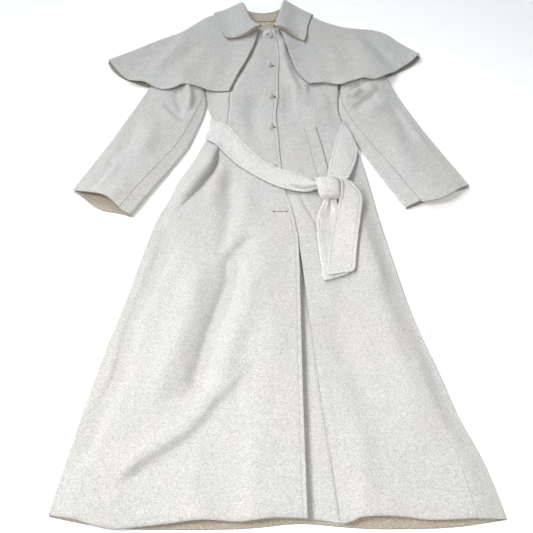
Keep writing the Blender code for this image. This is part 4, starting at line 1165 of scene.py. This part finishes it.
def cape_front_rows(sides):
    """One front of the cape, turned down along the shoulder to meet the cape's back."""
    plan = coons(sides)
    rows = []
    for u in shares(60):
        start = plan(u, 0)
        run = (plan(u, 1) - start).length
        steps = [distance / run for distance in CAPE_TURN_STEPS]
        steps += [mix(steps[-1], 1, share) for share in shares(44)[1:]]
        row = []
        for v in steps:
            spot = plan(u, v)
            open_share = min((spot - start).length / CAPE_EDGE_TURN, 1.0)
            rise = math.sqrt(1 - (1 - open_share) ** 2)
            low = ground(spot.x, spot.y) + CAPE_CLOTH + SEAM
            row.append((spot.x, spot.y, mix(low, cape_front_height(spot.x, spot.y), rise)))
        rows.append(row)
    return rows


def cape_back_rows():
    def spot(down, share):
        x = mix(*CAPE_BACK_X, share)
        y = mix(cape_top(x), cape_back_hem(x), down)
        return (x, y, COLLAR_LIFT * over_collar(x, y) + CAPE_CLOTH / 2)
    return grid_of(30, 72, spot)


class COAT_OT_cape(bpy.types.Operator):
    """Make the shoulder cape's back and its two fronts"""
    bl_idname = "coat.cape"
    bl_label = "Shoulder cape"

    def execute(self, context):
        thick, cloth = sizes().cape_cloth, cape_cloth()
        back = cloth_sheet("wool_cape_back", cape_back_rows(), thick, cloth, outer_up=False)
        declare(back, ["cape_back"])
        for side, table, wide in (("right", CAPE_RIGHT, 0.40), ("left", CAPE_LEFT, 0.38)):
            front = cloth_sheet(f"wool_cape_front_{side}", cape_front_rows(table), thick, cloth)
            declare(front, [f"cape_front_{side}"])
        return {"FINISHED"}


# ---------------------------------------------------------------- collar

# Stations round the neck, from the right front over the back to the left front.  Columns: the roll
# line's x, y; the fall's edge x, y; how far the collar has turned under, in degrees (0 on the
# front, 180 behind); bow of the section; and the neckline's x, y, where the stand is sewn on.
COLLAR_STATIONS = [
    (-14, 1213, -106, 1176, 0, -15, -16, 1222), (-34, 1228, -118, 1200, 0, -6, -42, 1234),
    (-47, 1251, -126, 1226, 0, 0, -60, 1247), (-54, 1280, -133, 1252, 0, 0, -76, 1262),
    (-62, 1302, -138, 1268, 15, 0, -82, 1267), (-69, 1316, -143, 1284, 90, 0, -82, 1272),
    (-62, 1310, -133, 1268, 165, 0, -76, 1268), (-50, 1303, -104, 1244, 180, 0, -58, 1262),
    (-30, 1296, -58, 1232, 180, 0, -34, 1257), (-9, 1294, -9, 1229, 180, 0, -9, 1255),
    (14, 1298, 40, 1232, 180, 0, 18, 1256), (33, 1308, 86, 1243, 180, 0, 46, 1260),
    (44, 1321, 116, 1262, 165, 0, 82, 1264), (50, 1330, 127, 1278, 90, 0, 92, 1266),
    (46, 1313, 120, 1260, 15, 0, 92, 1262), (40, 1288, 114, 1238, 0, 0, 86, 1257),
    (35, 1264, 108, 1212, 0, 0, 66, 1244), (28, 1234, 106, 1188, 0, 0, 46, 1233),
    (18, 1213, 100, 1165, 0, 0, 20, 1221)]
ROLL_ANGLES = (180, 150, 120, 90, 60, 30)     # of the points that form the roll, in each row
ROLL_POINTS = len(ROLL_ANGLES) + 2            # and of those that stay put as the edge is turned
ROLL_DEPTH, ROLL_RISE = 3.4, 7.2 # how far the roll stands off the fall, and how high off the cape
FALL_RISE, TURNED_RISE, TURNED_AWAY = 0.8, 0.4, 0.6   # of the fall, and of its turned front edges
CURL, TIP_CURL = 7.0, 0.45       # height of the curl, and the share that the points add
EDGE_REACH, TIP_REACH = 0.07, 0.16            # shares of the way round the neck that curl up
STAND_ENDS, STAND_CLEAR, STAND_BOW = (0.095, 0.925), 1.2, 0.8
STAND_FOOT = 0.9                 # how high the stand's lower edge lies, in thicknesses of cloth
LEFT_NECK_X = 20                 # where the neckline passes from the right front to the left
BEHIND_NECK = (math.radians(40), math.radians(140))   # turns at which the stand joins the back
collar_at = stations(COLLAR_STATIONS)


def collar_station(share):
    """The roll line, the fall's edge, the neckline, the turn and the bow at one station."""
    row = collar_at(share)
    return Vector(row[0:2]), Vector(row[2:4]), Vector(row[6:8]), math.radians(row[4]), row[5]


def collar_frame(roll, edge, turned):
    """The fall's direction, and the direction from the fall to the stand behind it."""
    run = (edge - roll).normalized()
    inward = Vector((-run.y, run.x)) if run.x < 0 else Vector((run.y, -run.x))
    behind = Vector((inward.x * math.sin(turned), inward.y * math.sin(turned), -math.cos(turned)))
    return Vector((run.x, run.y, 0.0)), behind


def fall_height(spot, turned, rise):
    """The middle of the fall: on the cape in front, on the floor behind."""
    on_cape = cape_front_height(spot.x, spot.y) + CAPE_CLOTH / 2 + SEAM + COLLAR_CLOTH / 2 + rise
    return mix(on_cape, COLLAR_CLOTH / 2, (1 - math.cos(turned)) / 2)


def roll_start(roll, turned):
    return Vector((roll.x, roll.y, fall_height(roll, turned, ROLL_RISE)))


def near_fronts(share, reach):
    """1 at the collar's two front edges, easing to 0 within a reach round the neck."""
    return max(ease(reach, 0.0, share), ease(1.0 - reach, 1.0, share))


def curl(share, part):
    """How far the fall's front edges curl up off the cape, near the two collar points."""
    edges = near_fronts(share, EDGE_REACH) * math.sin(math.pi * min(part + 0.12, 1.0))
    tips = TIP_CURL * ease(0.75, 1.0, part) * near_fronts(share, TIP_REACH)
    return CURL * (edges + tips) * ease(0.0, 0.2, part)


def collar_fall_rows():
    rows = []
    for share in shares(132):
        roll, edge, _, turned, bow = collar_station(share)
        run, behind = collar_frame(roll, edge, turned)
        start = roll_start(roll, turned)
        row = []
        for angle in ROLL_ANGLES:
            radians = math.radians(angle)
            row.append(start + run * ROLL_DEPTH * (1 - math.sin(radians))
                       + behind * ROLL_DEPTH * (1 - math.cos(radians)))
        across = Vector((run.y, -run.x, 0.0))
        flat_start = start + run * ROLL_DEPTH
        for part in shares(22):
            spot = mix(flat_start, Vector((edge.x, edge.y, 0.0)), part)
            spot += across * bow * math.sin(math.pi * part)
            lift = mix(ROLL_RISE, FALL_RISE, ease(0.0, 0.7, part)) + curl(share, part)
            spot.z = fall_height(spot, turned, lift)
            row.append(spot)
        rows.append(row)
    return [turned_down(rows[0], rows[1])] + rows + [turned_down(rows[-1], rows[-2])]


def turned_down(row, inner_row):
    """The front edge's turning: the edge row again, let down onto the cape."""
    turned = []
    for i, (spot, inner) in enumerate(zip(row, inner_row)):
        away = Vector((spot.x - inner.x, spot.y - inner.y, 0.0)).normalized() * TURNED_AWAY
        drop = 0.0 if i < ROLL_POINTS else spot.z - fall_height(spot, 0.0, TURNED_RISE)
        turned.append(spot + away - Vector((0.0, 0.0, max(drop, 0.0))))
    return turned


def stand_rows():
    """The stand, from the neckline of the fronts and the back up to the back of the roll."""
    def spot(share, part):
        roll, edge, neckline, turned, _ = collar_station(mix(*STAND_ENDS, share))
        run, behind = collar_frame(roll, edge, turned)
        top = roll_start(roll, turned) + run * (ROLL_DEPTH + STAND_CLEAR) + behind * 2 * ROLL_DEPTH
        on_left = neckline.x >= LEFT_NECK_X
        on_front = (front_left_height if on_left else front_right_height)(*neckline)
        on_back = body_ground(*neckline) + CLOTH / 2
        foot = mix(on_front, on_back, ease(*BEHIND_NECK, turned)) + CLOTH * STAND_FOOT
        place = mix(Vector((*neckline, foot)), top, part)
        place.z += STAND_BOW * math.sin(math.pi * part)
        return place
    return grid_of(100, 10, spot)


class COAT_OT_collar(bpy.types.Operator):
    """Make the collar's fall and its stand"""
    bl_idname = "coat.collar"
    bl_label = "Collar"

    def execute(self, context):
        fall = cloth_sheet("wool_collar_fall", collar_fall_rows(), sizes().cape_cloth, coat_cloth(),
                           ["top", "right", "bottom"], turned_ends=True)
        declare(fall, ["collar_fall"])
        stand = cloth_sheet("wool_collar_stand", stand_rows(), sizes().cloth, coat_cloth())
        declare(stand, ["collar_stand"])
        return {"FINISHED"}


# ---------------------------------------------------------------- belt

BELT_RISE, BELT_STAND_OFF, BELT_SQUASH = 1.2, 3.6, 0.55
BELT_BACK_X = (-103.6, 151.6)    # the ends of the stretch behind the back
TAIL_RIGHT, TAIL_LEFT = -104, 152             # x where the turns round the sides begin, behind
UNDER_SHARE = 0.85               # how much of the way to a turn the flat rows take up
# The belt's upper and lower edge, y, through its turn round each side, from behind (0) to the
# front (1).
TURN_RIGHT = [(0, 897, 838), (0.5, 896, 841), (1, 893, 831)]
TURN_LEFT = [(0, 897, 832), (0.5, 893, 827), (1, 886, 818)]
# The bottom of the right strand's deep crease, x, y, drawn dark as a seam line is: painted shade in
# the crease.
STRAND_CREASE_SHADE = [(54, 689), (63.6, 686), (83, 682), (97.5, 682.6), (112, 684)]
# Stretches on the fronts.  Columns: upper edge x, y; lower edge x, y; how far each edge is raised.
BELT_RIGHT_ROWS = [
    (-112, 880, -124, 815, 0, 0), (-89, 866, -102, 792, 0, 0), (-67, 835, -75, 761, 0, 0),
    (-36, 795, -43, 732, 0, 0), (-6, 765, -10, 708, 0, 0), (19, 745, 17, 691, 0.5, 0),
    (42, 734, 43, 680, 2.0, 0.5), (62, 729, 64, 674, 3.0, 1.0), (80, 721, 84, 671, 4.0, 1.5),
    (96, 713, 98, 674, 4.5, 2.0), (108, 700, 110, 680, 4.0, 3.0), (121, 693, 123, 673, 2.0, 2.0)]
BELT_LEFT_ROWS = [
    (174.5, 868, 212.5, 806, 0, 0), (166.5, 845, 210.5, 790, 0, 0),
    (158.5, 815, 207, 772, 0.5, 0.5), (151, 785, 202.5, 757, 2, 1),
    (144.5, 758, 197, 742, 3.5, 2.5), (140, 738, 191, 726, 6, 5), (137.5, 718, 185, 712, 8, 8),
    (138, 704, 175, 700, 9, 9)]
BELT_TAIL_FRONT_ROWS = [
    (134, 703, 150, 707, 16.0, 16.0), (145, 702, 166, 702, 19.0, 18.5),
    (157, 697, 182, 696, 19.0, 16.0), (164, 684, 197, 685, 16.0, 11.0),
    (163, 664, 207, 669, 11.0, 7.5), (158, 644, 211, 652, 8.5, 5.5),
    (152, 620, 207, 628, 7.0, 4.0), (143, 590, 202, 600, 6.0, 2.5), (135, 553, 195, 561, 5.5, 2.0),
    (128, 514, 189, 526, 5.0, 1.5), (124, 480, 184, 489, 5.0, 1.5), (123, 466, 182, 478, 5.0, 1.5),
    (126, 461, 179, 473, 5.0, 1.5), (131, 460, 174, 471, 5.0, 1.5)]
BELT_TAIL_BACK_ROWS = [
    (128, 658, 152, 656, 5.0, 5.0), (122, 640, 157, 636, 2.0, 2.0), (114, 622, 162, 616, 0.4, 0.4),
    (107.5, 598, 164, 592, 0, 0), (106, 562, 164, 560, 0, 0), (109, 520, 166, 526, 0, 0),
    (113, 470, 169, 486, 0, 0), (114, 456, 170, 472, 0, 0), (117, 450, 168, 467, 0, 0),
    (121, 449, 163, 464, 0, 0)]
# The knot's wrap: share of its way up, x of its left and right edges; the y of its middle and half
# its height; how high it stands, how round it is, and the degrees that it turns through.
WRAP_SIDES = [(0, 123, 157), (0.35, 115, 164), (0.7, 110, 162), (1, 107, 150)]
WRAP_Y, WRAP_HALF, WRAP_STANDS, WRAP_CROWN, WRAP_TURN = 679, 27, 13, 12, (-12, 192)
BED_SPOTS = ((0, 0), (-9, 5), (9, -5), (-5, -9), (5, 9))   # where the belt feels what it lies on


def hump(value, centre, width):
    return math.exp(-((value - centre) / width) ** 2)


def strand_shape(share, part):
    """The right strand is round, and gathers towards the knot with one deep crease."""
    near = ease(0.45, 0.95, share)
    fullness = (1.0 + 8.0 * near) * math.sin(math.pi * part)
    return fullness - 14.0 * hump(part, 0.78, 0.055) * ease(0.58, 0.74, share)


def loop_shape(share, part):
    return 1.2 * math.sin(math.pi * part) + 1.5 * hump(part, 0.1, 0.2) * ease(0.3, 0.9, share)


def over_shape(share, part):
    """The upper tail's left edge curls up where it leaves the knot."""
    return 1.0 * math.sin(math.pi * part) + 5.5 * hump(part, 0.0, 0.16) * ease(0.46, 0.20, share)


def under_shape(share, part):
    """The lower tail is full along its left edge, and pleated under the knot."""
    pleats = (2.6 * hump(part, 0.30, 0.09) - 3.0 * hump(part, 0.52, 0.08)
              + 2.0 * hump(part, 0.74, 0.09))
    dip = 2.4 * hump(part, 0.12, 0.14) - 1.6 * hump(part, 0.6, 0.25) * ease(0.75, 0.4, share)
    return pleats * ease(0.38, 0.06, share) + dip * ease(0.95, 0.6, share)


def belt_turn(x, y, toward, angle):
    """A point of the belt's turn round the coat's side edge; toward is 1 on the right side."""
    floor = body_ground(x, y)
    middle = floor + CLOTH / 2 + EDGE_RADIUS
    radius = (floor + 2 * CLOTH + STACK_SLACK + BELT_RISE + BELT_CLOTH / 2) - middle
    radians = math.radians(angle)
    centre_x = x + toward * (CLOTH / 2 + EDGE_RADIUS - BELT_STAND_OFF)
    height = mix(BELT_CLOTH / 2, middle + radius, (1 + math.sin(radians)) / 2)
    return (centre_x - toward * BELT_SQUASH * radius * math.cos(radians), y, height)


def belt_bed(x, y):
    """The height that the belt lies on: the fronts, bridged over the narrow creases."""
    levels = sorted(front_top(x + dx, y + dy) for dx, dy in BED_SPOTS)
    return sum(levels[2:]) / 3


def ribbon(table, along, across, shape):
    """Rows of points on the fronts between a table's two edges, with a shape's height added."""
    at = stations(table)

    def spot(share, part):
        x0, y0, x1, y1, rise0, rise1 = at(share)
        x, y = mix(x0, x1, part), mix(y0, y1, part)
        height = belt_bed(x, y) + BELT_RISE + BELT_CLOTH / 2 + mix(rise0, rise1, part)
        return (x, y, height + shape(share, part))
    return grid_of(along, across, spot)


def two_sides(table):
    """The smooth left and right, or upper and lower, sides of a table with shares in front."""
    return [smooth([(row[0], row[side]) for row in table]) for side in (1, 2)]


def belt_side(outline, toward, tail, edges, across):
    """The belt's turn round one side, from under the back to the top; tail is its inner x below."""
    upper, lower = two_sides(edges)

    def under(share, part):
        y = mix(upper(0), mix(BELT_Y[0], lower(0), share), part)
        turn_start = belt_turn(outline(y), y, toward, -90)[0]
        return (mix(tail, turn_start, share * UNDER_SHARE), y, BELT_CLOTH / 2)

    def turn(turned, part):
        y = mix(upper(turned), lower(turned), part)
        return belt_turn(outline(y), y, toward, 180 * turned - 90)
    return grid_of(3, across, under) + grid_of(12, across, turn)


def wrap_rows():
    """The wrap of the knot: a round band drawn in at its ends and turned down on all sides."""
    left, right = two_sides(WRAP_SIDES)

    def spot(share, part):
        angle = math.radians(mix(*WRAP_TURN, share))
        x = mix(left(share), right(share), part)
        y = WRAP_Y - WRAP_HALF * math.cos(angle)
        end = abs(2 * part - 1)
        crown = WRAP_CROWN + 2.5 * math.sin(math.pi * part) - 6.0 * end ** 5
        ribs = 0.7 * math.sin(share * 34 + 1.6 * math.sin(math.pi * part)) * (1 - end ** 4)
        foot = front_top(x, WRAP_Y) + WRAP_STANDS - 3.0 * end ** 6
        return (x, y, foot + (crown + ribs) * math.sin(angle))
    return grid_of(64, 26, spot)


def belt_behind_rows():
    def spot(share, part):
        return (mix(*BELT_BACK_X, share), mix(BELT_Y[1], BELT_Y[0], part), BELT_CLOTH / 2)
    return grid_of(40, 10, spot)


def belt_sheet(name, rows, stitched=(), seam=None):
    return cloth_sheet(name, rows, sizes().belt_cloth, belt_cloth(), stitched, seam)


class COAT_OT_belt(bpy.types.Operator):
    """Make the belt round the waist, its two tails and the knot"""
    bl_idname = "coat.belt"
    bl_label = "Tie belt"

    def execute(self, context):
        both, round_end = ["left", "right"], ["right", "bottom", "left"]
        behind = belt_sheet("belt_behind", belt_behind_rows(), both)
        declare(behind, ["belt_back"])
        rows = belt_side(right_outline, 1, TAIL_RIGHT, TURN_RIGHT, 26)
        rows += ribbon(BELT_RIGHT_ROWS, 96, 26, strand_shape)
        strand = belt_sheet("belt_strand_right", rows, both, STRAND_CREASE_SHADE)
        declare(strand, ["belt_front_right"])
        rows = belt_side(left_outline, -1, TAIL_LEFT, TURN_LEFT, 14)
        rows += ribbon(BELT_LEFT_ROWS, 48, 14, loop_shape)
        strand = belt_sheet("belt_strand_left", rows, both)
        declare(strand, ["belt_front_left"])
        tail = belt_sheet("belt_tail_under", ribbon(BELT_TAIL_BACK_ROWS, 84, 22, under_shape),
                          round_end)
        declare(tail, ["belt_tail_back"])
        tail = belt_sheet("belt_tail_over", ribbon(BELT_TAIL_FRONT_ROWS, 110, 20, over_shape),
                          round_end)
        declare(tail, ["belt_tail_front"])
        wrap = belt_sheet("belt_wrap", wrap_rows())
        declare(wrap, ["belt_knot"])
        return {"FINISHED"}


# ---------------------------------------------------------------- pocket and buttons

WELT_ROWS = [(88, 865, 118, 869), (97, 820, 126, 829), (106, 772, 135, 784), (114, 727, 142, 744),
             (120, 700, 148, 712)]
WELT_CLOTH, WELT_GAP, WELT_SEWN_IN = 2.0, 0.2, 1.1
WELT_THICKNESS = 0.8             # of the welt's sheet, as a share of the space that it takes up
# Buttons: x, y; share of the full width; the plan angle of the axis that the button leans about,
# and how far it leans, in degrees; half the length of the buttonhole.
BUTTONS = [(2, 1186, 1.15, 0, 24, 9), (8, 1076, 0.74, 84, 34, 12), (11, 967, 0.84, 84, 34, 12.5),
           (10, 866, 0.84, 84, 32, 12), (17, 746, 0.84, 84, 30, 12)]
HOLE_TURN, HOLE_AWAY, HOLE_RISE = math.radians(-29), 1.5, 0.2
BUTTON_THICKNESS, LOOSE_BUTTON_THICKNESS = 5.0, 2.6
TOP_BUTTON_STANDS, BUTTON_STANDS = 2.2, 0.8
LOOSE_BUTTON = (26, 623)
EMPTY_HOLE, EMPTY_HALF = (29.5, 621), 14.0
DOME_ROUND, UNDERSIDE = 1.25, 0.7   # how round a button's dome is, and how deep it is below its rim
# The slits are dark lenses of painted shadow, save the empty buttonhole's sewn middle, which is
# thread.
# Slits, by half their width and half their thickness; two of them by half their length and width.
SLIT_HALF, SEWN_HALF, SLIT_THICKNESS = 2.4, 1.0, 0.35
END_SLIT, FOLD_SLIT, FOLD_TURN = (2.2, 1.7), (6.5, 1.1), math.radians(50)
FACE_SUNK = 0.2                  # how deep the small fold lies in the top button's face
# Threads: half the width of the loop, and the thread's radius; how far it lies round the slit.
HOLE_THREAD, EMPTY_THREAD, THREAD_AROUND = (2.8, 0.5), (1.5, 0.45), 0.7


def welt_rows():
    at = stations(WELT_ROWS)

    def spot(share, part):
        x0, y0, x1, y1 = at(share)
        x, y = mix(x0, x1, part), mix(y0, y1, part)
        return (x, y, front_left_height(x, y) + CLOTH / 2 + WELT_GAP + WELT_CLOTH / 2)
    return grid_of(40, 10, spot)


class COAT_OT_pocket(bpy.types.Operator):
    """Make the pocket welt on the left front"""
    bl_idname = "coat.pocket"
    bl_label = "Pocket welt"

    def execute(self, context):
        rows = welt_rows()
        sewn = [(row[0][0] + WELT_SEWN_IN, row[0][1]) for row in rows]
        sewn += [(row[-1][0] - WELT_SEWN_IN, row[-1][1]) for row in rows[::-1]]
        welt = cloth_sheet("wool_pocket_welt", rows, WELT_CLOTH * MM * WELT_THICKNESS, coat_cloth(),
                           seam=sewn)
        declare(welt, ["pocket_welt_left"])
        return {"FINISHED"}


def lay(shape, centre, turns):
    """Turn a shape about its own middle, and put it in its place in the plan."""
    for angle, axis in turns:
        turn = Matrix.Rotation(angle, 3, axis)
        bmesh.ops.rotate(shape, cent=(0, 0, 0), matrix=turn, verts=shape.verts)
    bmesh.ops.translate(shape, vec=to_frame(centre), verts=shape.verts)


def button(name, centre, width, height, lean=0.0, tilt=0.0):
    """A covered button: a low dome over a rounded rim, with the cloth's edge gathered under it."""
    dome = bmesh.new()
    bmesh.ops.create_uvsphere(dome, u_segments=48, v_segments=24, radius=1.0)
    for vert in dome.verts:
        flat = math.copysign(abs(vert.co.z) ** DOME_ROUND, vert.co.z)
        vert.co.z = flat if flat > 0 else flat * UNDERSIDE
    bmesh.ops.scale(dome, vec=(width / 2, width / 2, height / 2), verts=dome.verts)
    lay(dome, centre, [(tilt, Vector((math.cos(lean), math.sin(lean), 0.0)))])
    dome.verts.index_update()
    for layer in ("stitch", "seam"):
        write_uv(dome, layer, [FAR] * len(dome.verts))
    return put_mesh(name, dome, [finish_for("belt")])


def ring(name, centre, long, wide, thick, turn):
    """A closed loop of thread round a buttonhole: a torus drawn out to a narrow oval."""
    loop = bmesh.new()
    bmesh.ops.create_grid(loop, x_segments=64, y_segments=10, size=1.0)
    for vert in loop.verts:
        along, around = (vert.co.x + 1) * math.pi, (vert.co.y + 1) * math.pi
        reach = 1 + thick / wide * math.cos(around)
        vert.co = Vector((math.cos(along) * (long + thick * math.cos(around)),
                          math.sin(along) * wide * reach, math.sin(around) * thick)) * MM
    bmesh.ops.remove_doubles(loop, verts=loop.verts, dist=1e-6 * MM)
    bmesh.ops.recalc_face_normals(loop, faces=loop.faces)
    lay(loop, centre, [(turn, "Z")])
    trim(put_mesh(name, loop, [finish_for("thread")]))


def slit(name, centre, long, wide, turn=0.0, tilt=0.0, kind="hollow"):
    """A flat lens tilted towards the hem: by default a dark one, painted shadow in a buttonhole."""
    lens = bmesh.new()
    bmesh.ops.create_uvsphere(lens, u_segments=32, v_segments=12, radius=1.0)
    bmesh.ops.scale(lens, vec=(long * MM, wide * MM, SLIT_THICKNESS * MM), verts=lens.verts)
    lay(lens, centre, [(turn, "Z"), (tilt, "X")])
    trim(put_mesh(name, lens, [finish_for(kind)]))


class COAT_OT_buttons(bpy.types.Operator):
    """Make the covered buttons and the buttonholes they lean in"""
    bl_idname = "coat.buttons"
    bl_label = "Buttons and buttonholes"

    def execute(self, context):
        size = sizes()

        def top_of_front(x, y):
            return front_right_height(x, y) + size.cloth / MM / 2

        for number, (x, y, wide, lean, tilt, half) in enumerate(BUTTONS, start=1):
            top = top_of_front(x, y)
            z = top + BUTTON_THICKNESS / 2 + (TOP_BUTTON_STANDS if lean == 0 else BUTTON_STANDS)
            made = button(f"covered_button_{number}", (x, y, z), size.button_width * wide,
                          size.button_height, math.radians(lean), math.radians(tilt))
            trim(made, [f"button_{number}"])
            # Beside each button, its buttonhole's opening, a dark lens of painted shadow, and its
            # thread.
            hole = (x + HOLE_AWAY, y + HOLE_AWAY, top + HOLE_RISE)
            slit(f"buttonhole_slit_{number}", hole, half, SLIT_HALF, HOLE_TURN)
            ring(f"buttonhole_thread_{number}", hole, half + THREAD_AROUND, *HOLE_THREAD, HOLE_TURN)
        x, y = LOOSE_BUTTON
        z = body_ground(x, y) + CLOTH + UNDERLAP_LEVEL + SEAM + LOOSE_BUTTON_THICKNESS / 2
        hidden = button("covered_button_6", (x, y, z), size.button_width,
                        LOOSE_BUTTON_THICKNESS * MM)
        trim(hidden, ["button_6"])
        # The empty buttonhole below the belt: its two open ends, dark lenses of painted shadow, its
        # sewn middle and its thread.
        x, y = EMPTY_HOLE
        top = top_of_front(x, y)
        for number, end in ((6, x - EMPTY_HALF), (7, x + EMPTY_HALF)):
            slit(f"buttonhole_slit_{number}", (end, y, top + HOLE_RISE), *END_SLIT)
        slit("buttonhole_slit_8", (x, y, top + HOLE_RISE / 2), EMPTY_HALF, SEWN_HALF, kind="thread")
        ring("buttonhole_thread_6", (x, y, top), EMPTY_HALF, *EMPTY_THREAD, 0.0)
        # A dark lens across the top button's face: painted shadow of its small fold.
        x, y, _, _, leans, _ = BUTTONS[0]
        z = top_of_front(x, y) + BUTTON_THICKNESS / 2 + TOP_BUTTON_STANDS
        face, tilt = size.button_height / MM / 2 - FACE_SUNK, math.radians(leans)
        fold = (x + 1, y - face * math.sin(tilt), z + face * math.cos(tilt))
        slit("button_fold_1", fold, *FOLD_SLIT, FOLD_TURN, tilt)
        return {"FINISHED"}


# ---------------------------------------------------------------- stage

LIGHTS = [  # name, power property, place, aim, width and height, how widely it spreads, colour
    ("key_light", "key", (-1.48, -0.36, 1.76), (0.10, -0.50, 0.0), 0.8, 66, (1.0, 0.98, 0.945)),
    ("side_light", "side", (-2.5, 3.4, 3.2), (0.0, 0.1, 0.0), 2.0, 180, (0.93, 0.97, 1.0)),
    ("fill_light", "fill", (0.45, -1.25, 1.60), (0.0, -0.38, 0.0), 1.1, 180, (1.0, 0.985, 0.965)),
]
SKY_COLOUR = (0.86, 0.94, 1.0, 1.0)
CAMERA_Y = -150                  # in the plan, a little below the hem
FLOOR_HALF = 4.0                 # half the floor's width, in metres


class COAT_OT_stage(bpy.types.Operator):
    """Make the pale floor, the soft lights and the camera"""
    bl_idname = "coat.stage"
    bl_label = "Floor, light and camera"

    def execute(self, context):
        scene, stage = context.scene, context.scene.coat_stage
        floor_shape = bmesh.new()
        bmesh.ops.create_grid(floor_shape, x_segments=4, y_segments=4, size=FLOOR_HALF)
        floor = put_mesh("floor", floor_shape, [finish_for("floor")])
        for name, power, place, aim, size, spread, tint in LIGHTS:
            data = bpy.data.lights.new(name, "AREA")
            data.shape, data.color = "SQUARE", tint
            data.size, data.spread, data.energy = size, math.radians(spread), getattr(stage, power)
            light = bpy.data.objects.new(name, data)
            light.location = place
            light.rotation_euler = (Vector(aim) - Vector(place)).to_track_quat("-Z", "Y").to_euler()
            scene.collection.objects.link(light)
        world = bpy.data.worlds.new("even light")
        world.use_nodes = True
        sky = world.node_tree.nodes["Background"]
        sky.inputs["Color"].default_value = SKY_COLOUR
        sky.inputs["Strength"].default_value = stage.sky
        scene.world = world
        scene.view_settings.view_transform = "Standard"
        data = bpy.data.cameras.new("camera")
        data.sensor_width, data.lens = 36.0, stage.camera_lens
        camera = bpy.data.objects.new("camera", data)
        camera.location = (-PLAN_MIDDLE[0] * MM, (CAMERA_Y - PLAN_MIDDLE[1]) * MM,
                           stage.camera_height)
        camera.rotation_euler = (stage.camera_tilt, 0.0, 0.0)
        scene.collection.objects.link(camera)
        scene.camera = camera
        return {"FINISHED"}


# ---------------------------------------------------------------- panel and start

OPERATORS = (COAT_OT_body, COAT_OT_sleeves, COAT_OT_cape, COAT_OT_collar, COAT_OT_belt,
             COAT_OT_pocket, COAT_OT_buttons, COAT_OT_stage)


class COAT_PT_panel(bpy.types.Panel):
    """Lists the coat's pieces, sizes and colours"""
    bl_idname = "COAT_PT_panel"
    bl_label = "Belted Cape Coat"
    bl_space_type = "VIEW_3D"
    bl_region_type = "UI"
    bl_category = "Coat"

    def draw(self, context):
        for group_name, _ in GROUPS:
            group, box = getattr(context.scene, group_name), self.layout.box()
            for name in group.bl_rna.properties.keys():
                if name not in {"rna_type", "name"}:
                    box.prop(group, name)
        for operator in OPERATORS:
            self.layout.operator(operator.bl_idname)


GROUPS = (("coat_sizes", CoatSizes), ("coat_colours", CoatColours), ("coat_stage", CoatStage))


def register():
    for name, group in GROUPS:
        bpy.utils.register_class(group)
        setattr(bpy.types.Scene, name, PointerProperty(type=group))
    for each in OPERATORS + (COAT_PT_panel,):
        bpy.utils.register_class(each)


def unregister():
    for each in (COAT_PT_panel,) + OPERATORS[::-1]:
        bpy.utils.unregister_class(each)
    for name, group in GROUPS[::-1]:
        delattr(bpy.types.Scene, name)
        bpy.utils.unregister_class(group)


def main():
    register()
    bpy.ops.coat.body()
    bpy.ops.coat.sleeves()
    bpy.ops.coat.cape()
    bpy.ops.coat.collar()
    bpy.ops.coat.belt()
    bpy.ops.coat.pocket()
    bpy.ops.coat.buttons()
    bpy.ops.coat.stage()


if __name__ == "__main__":
    main()
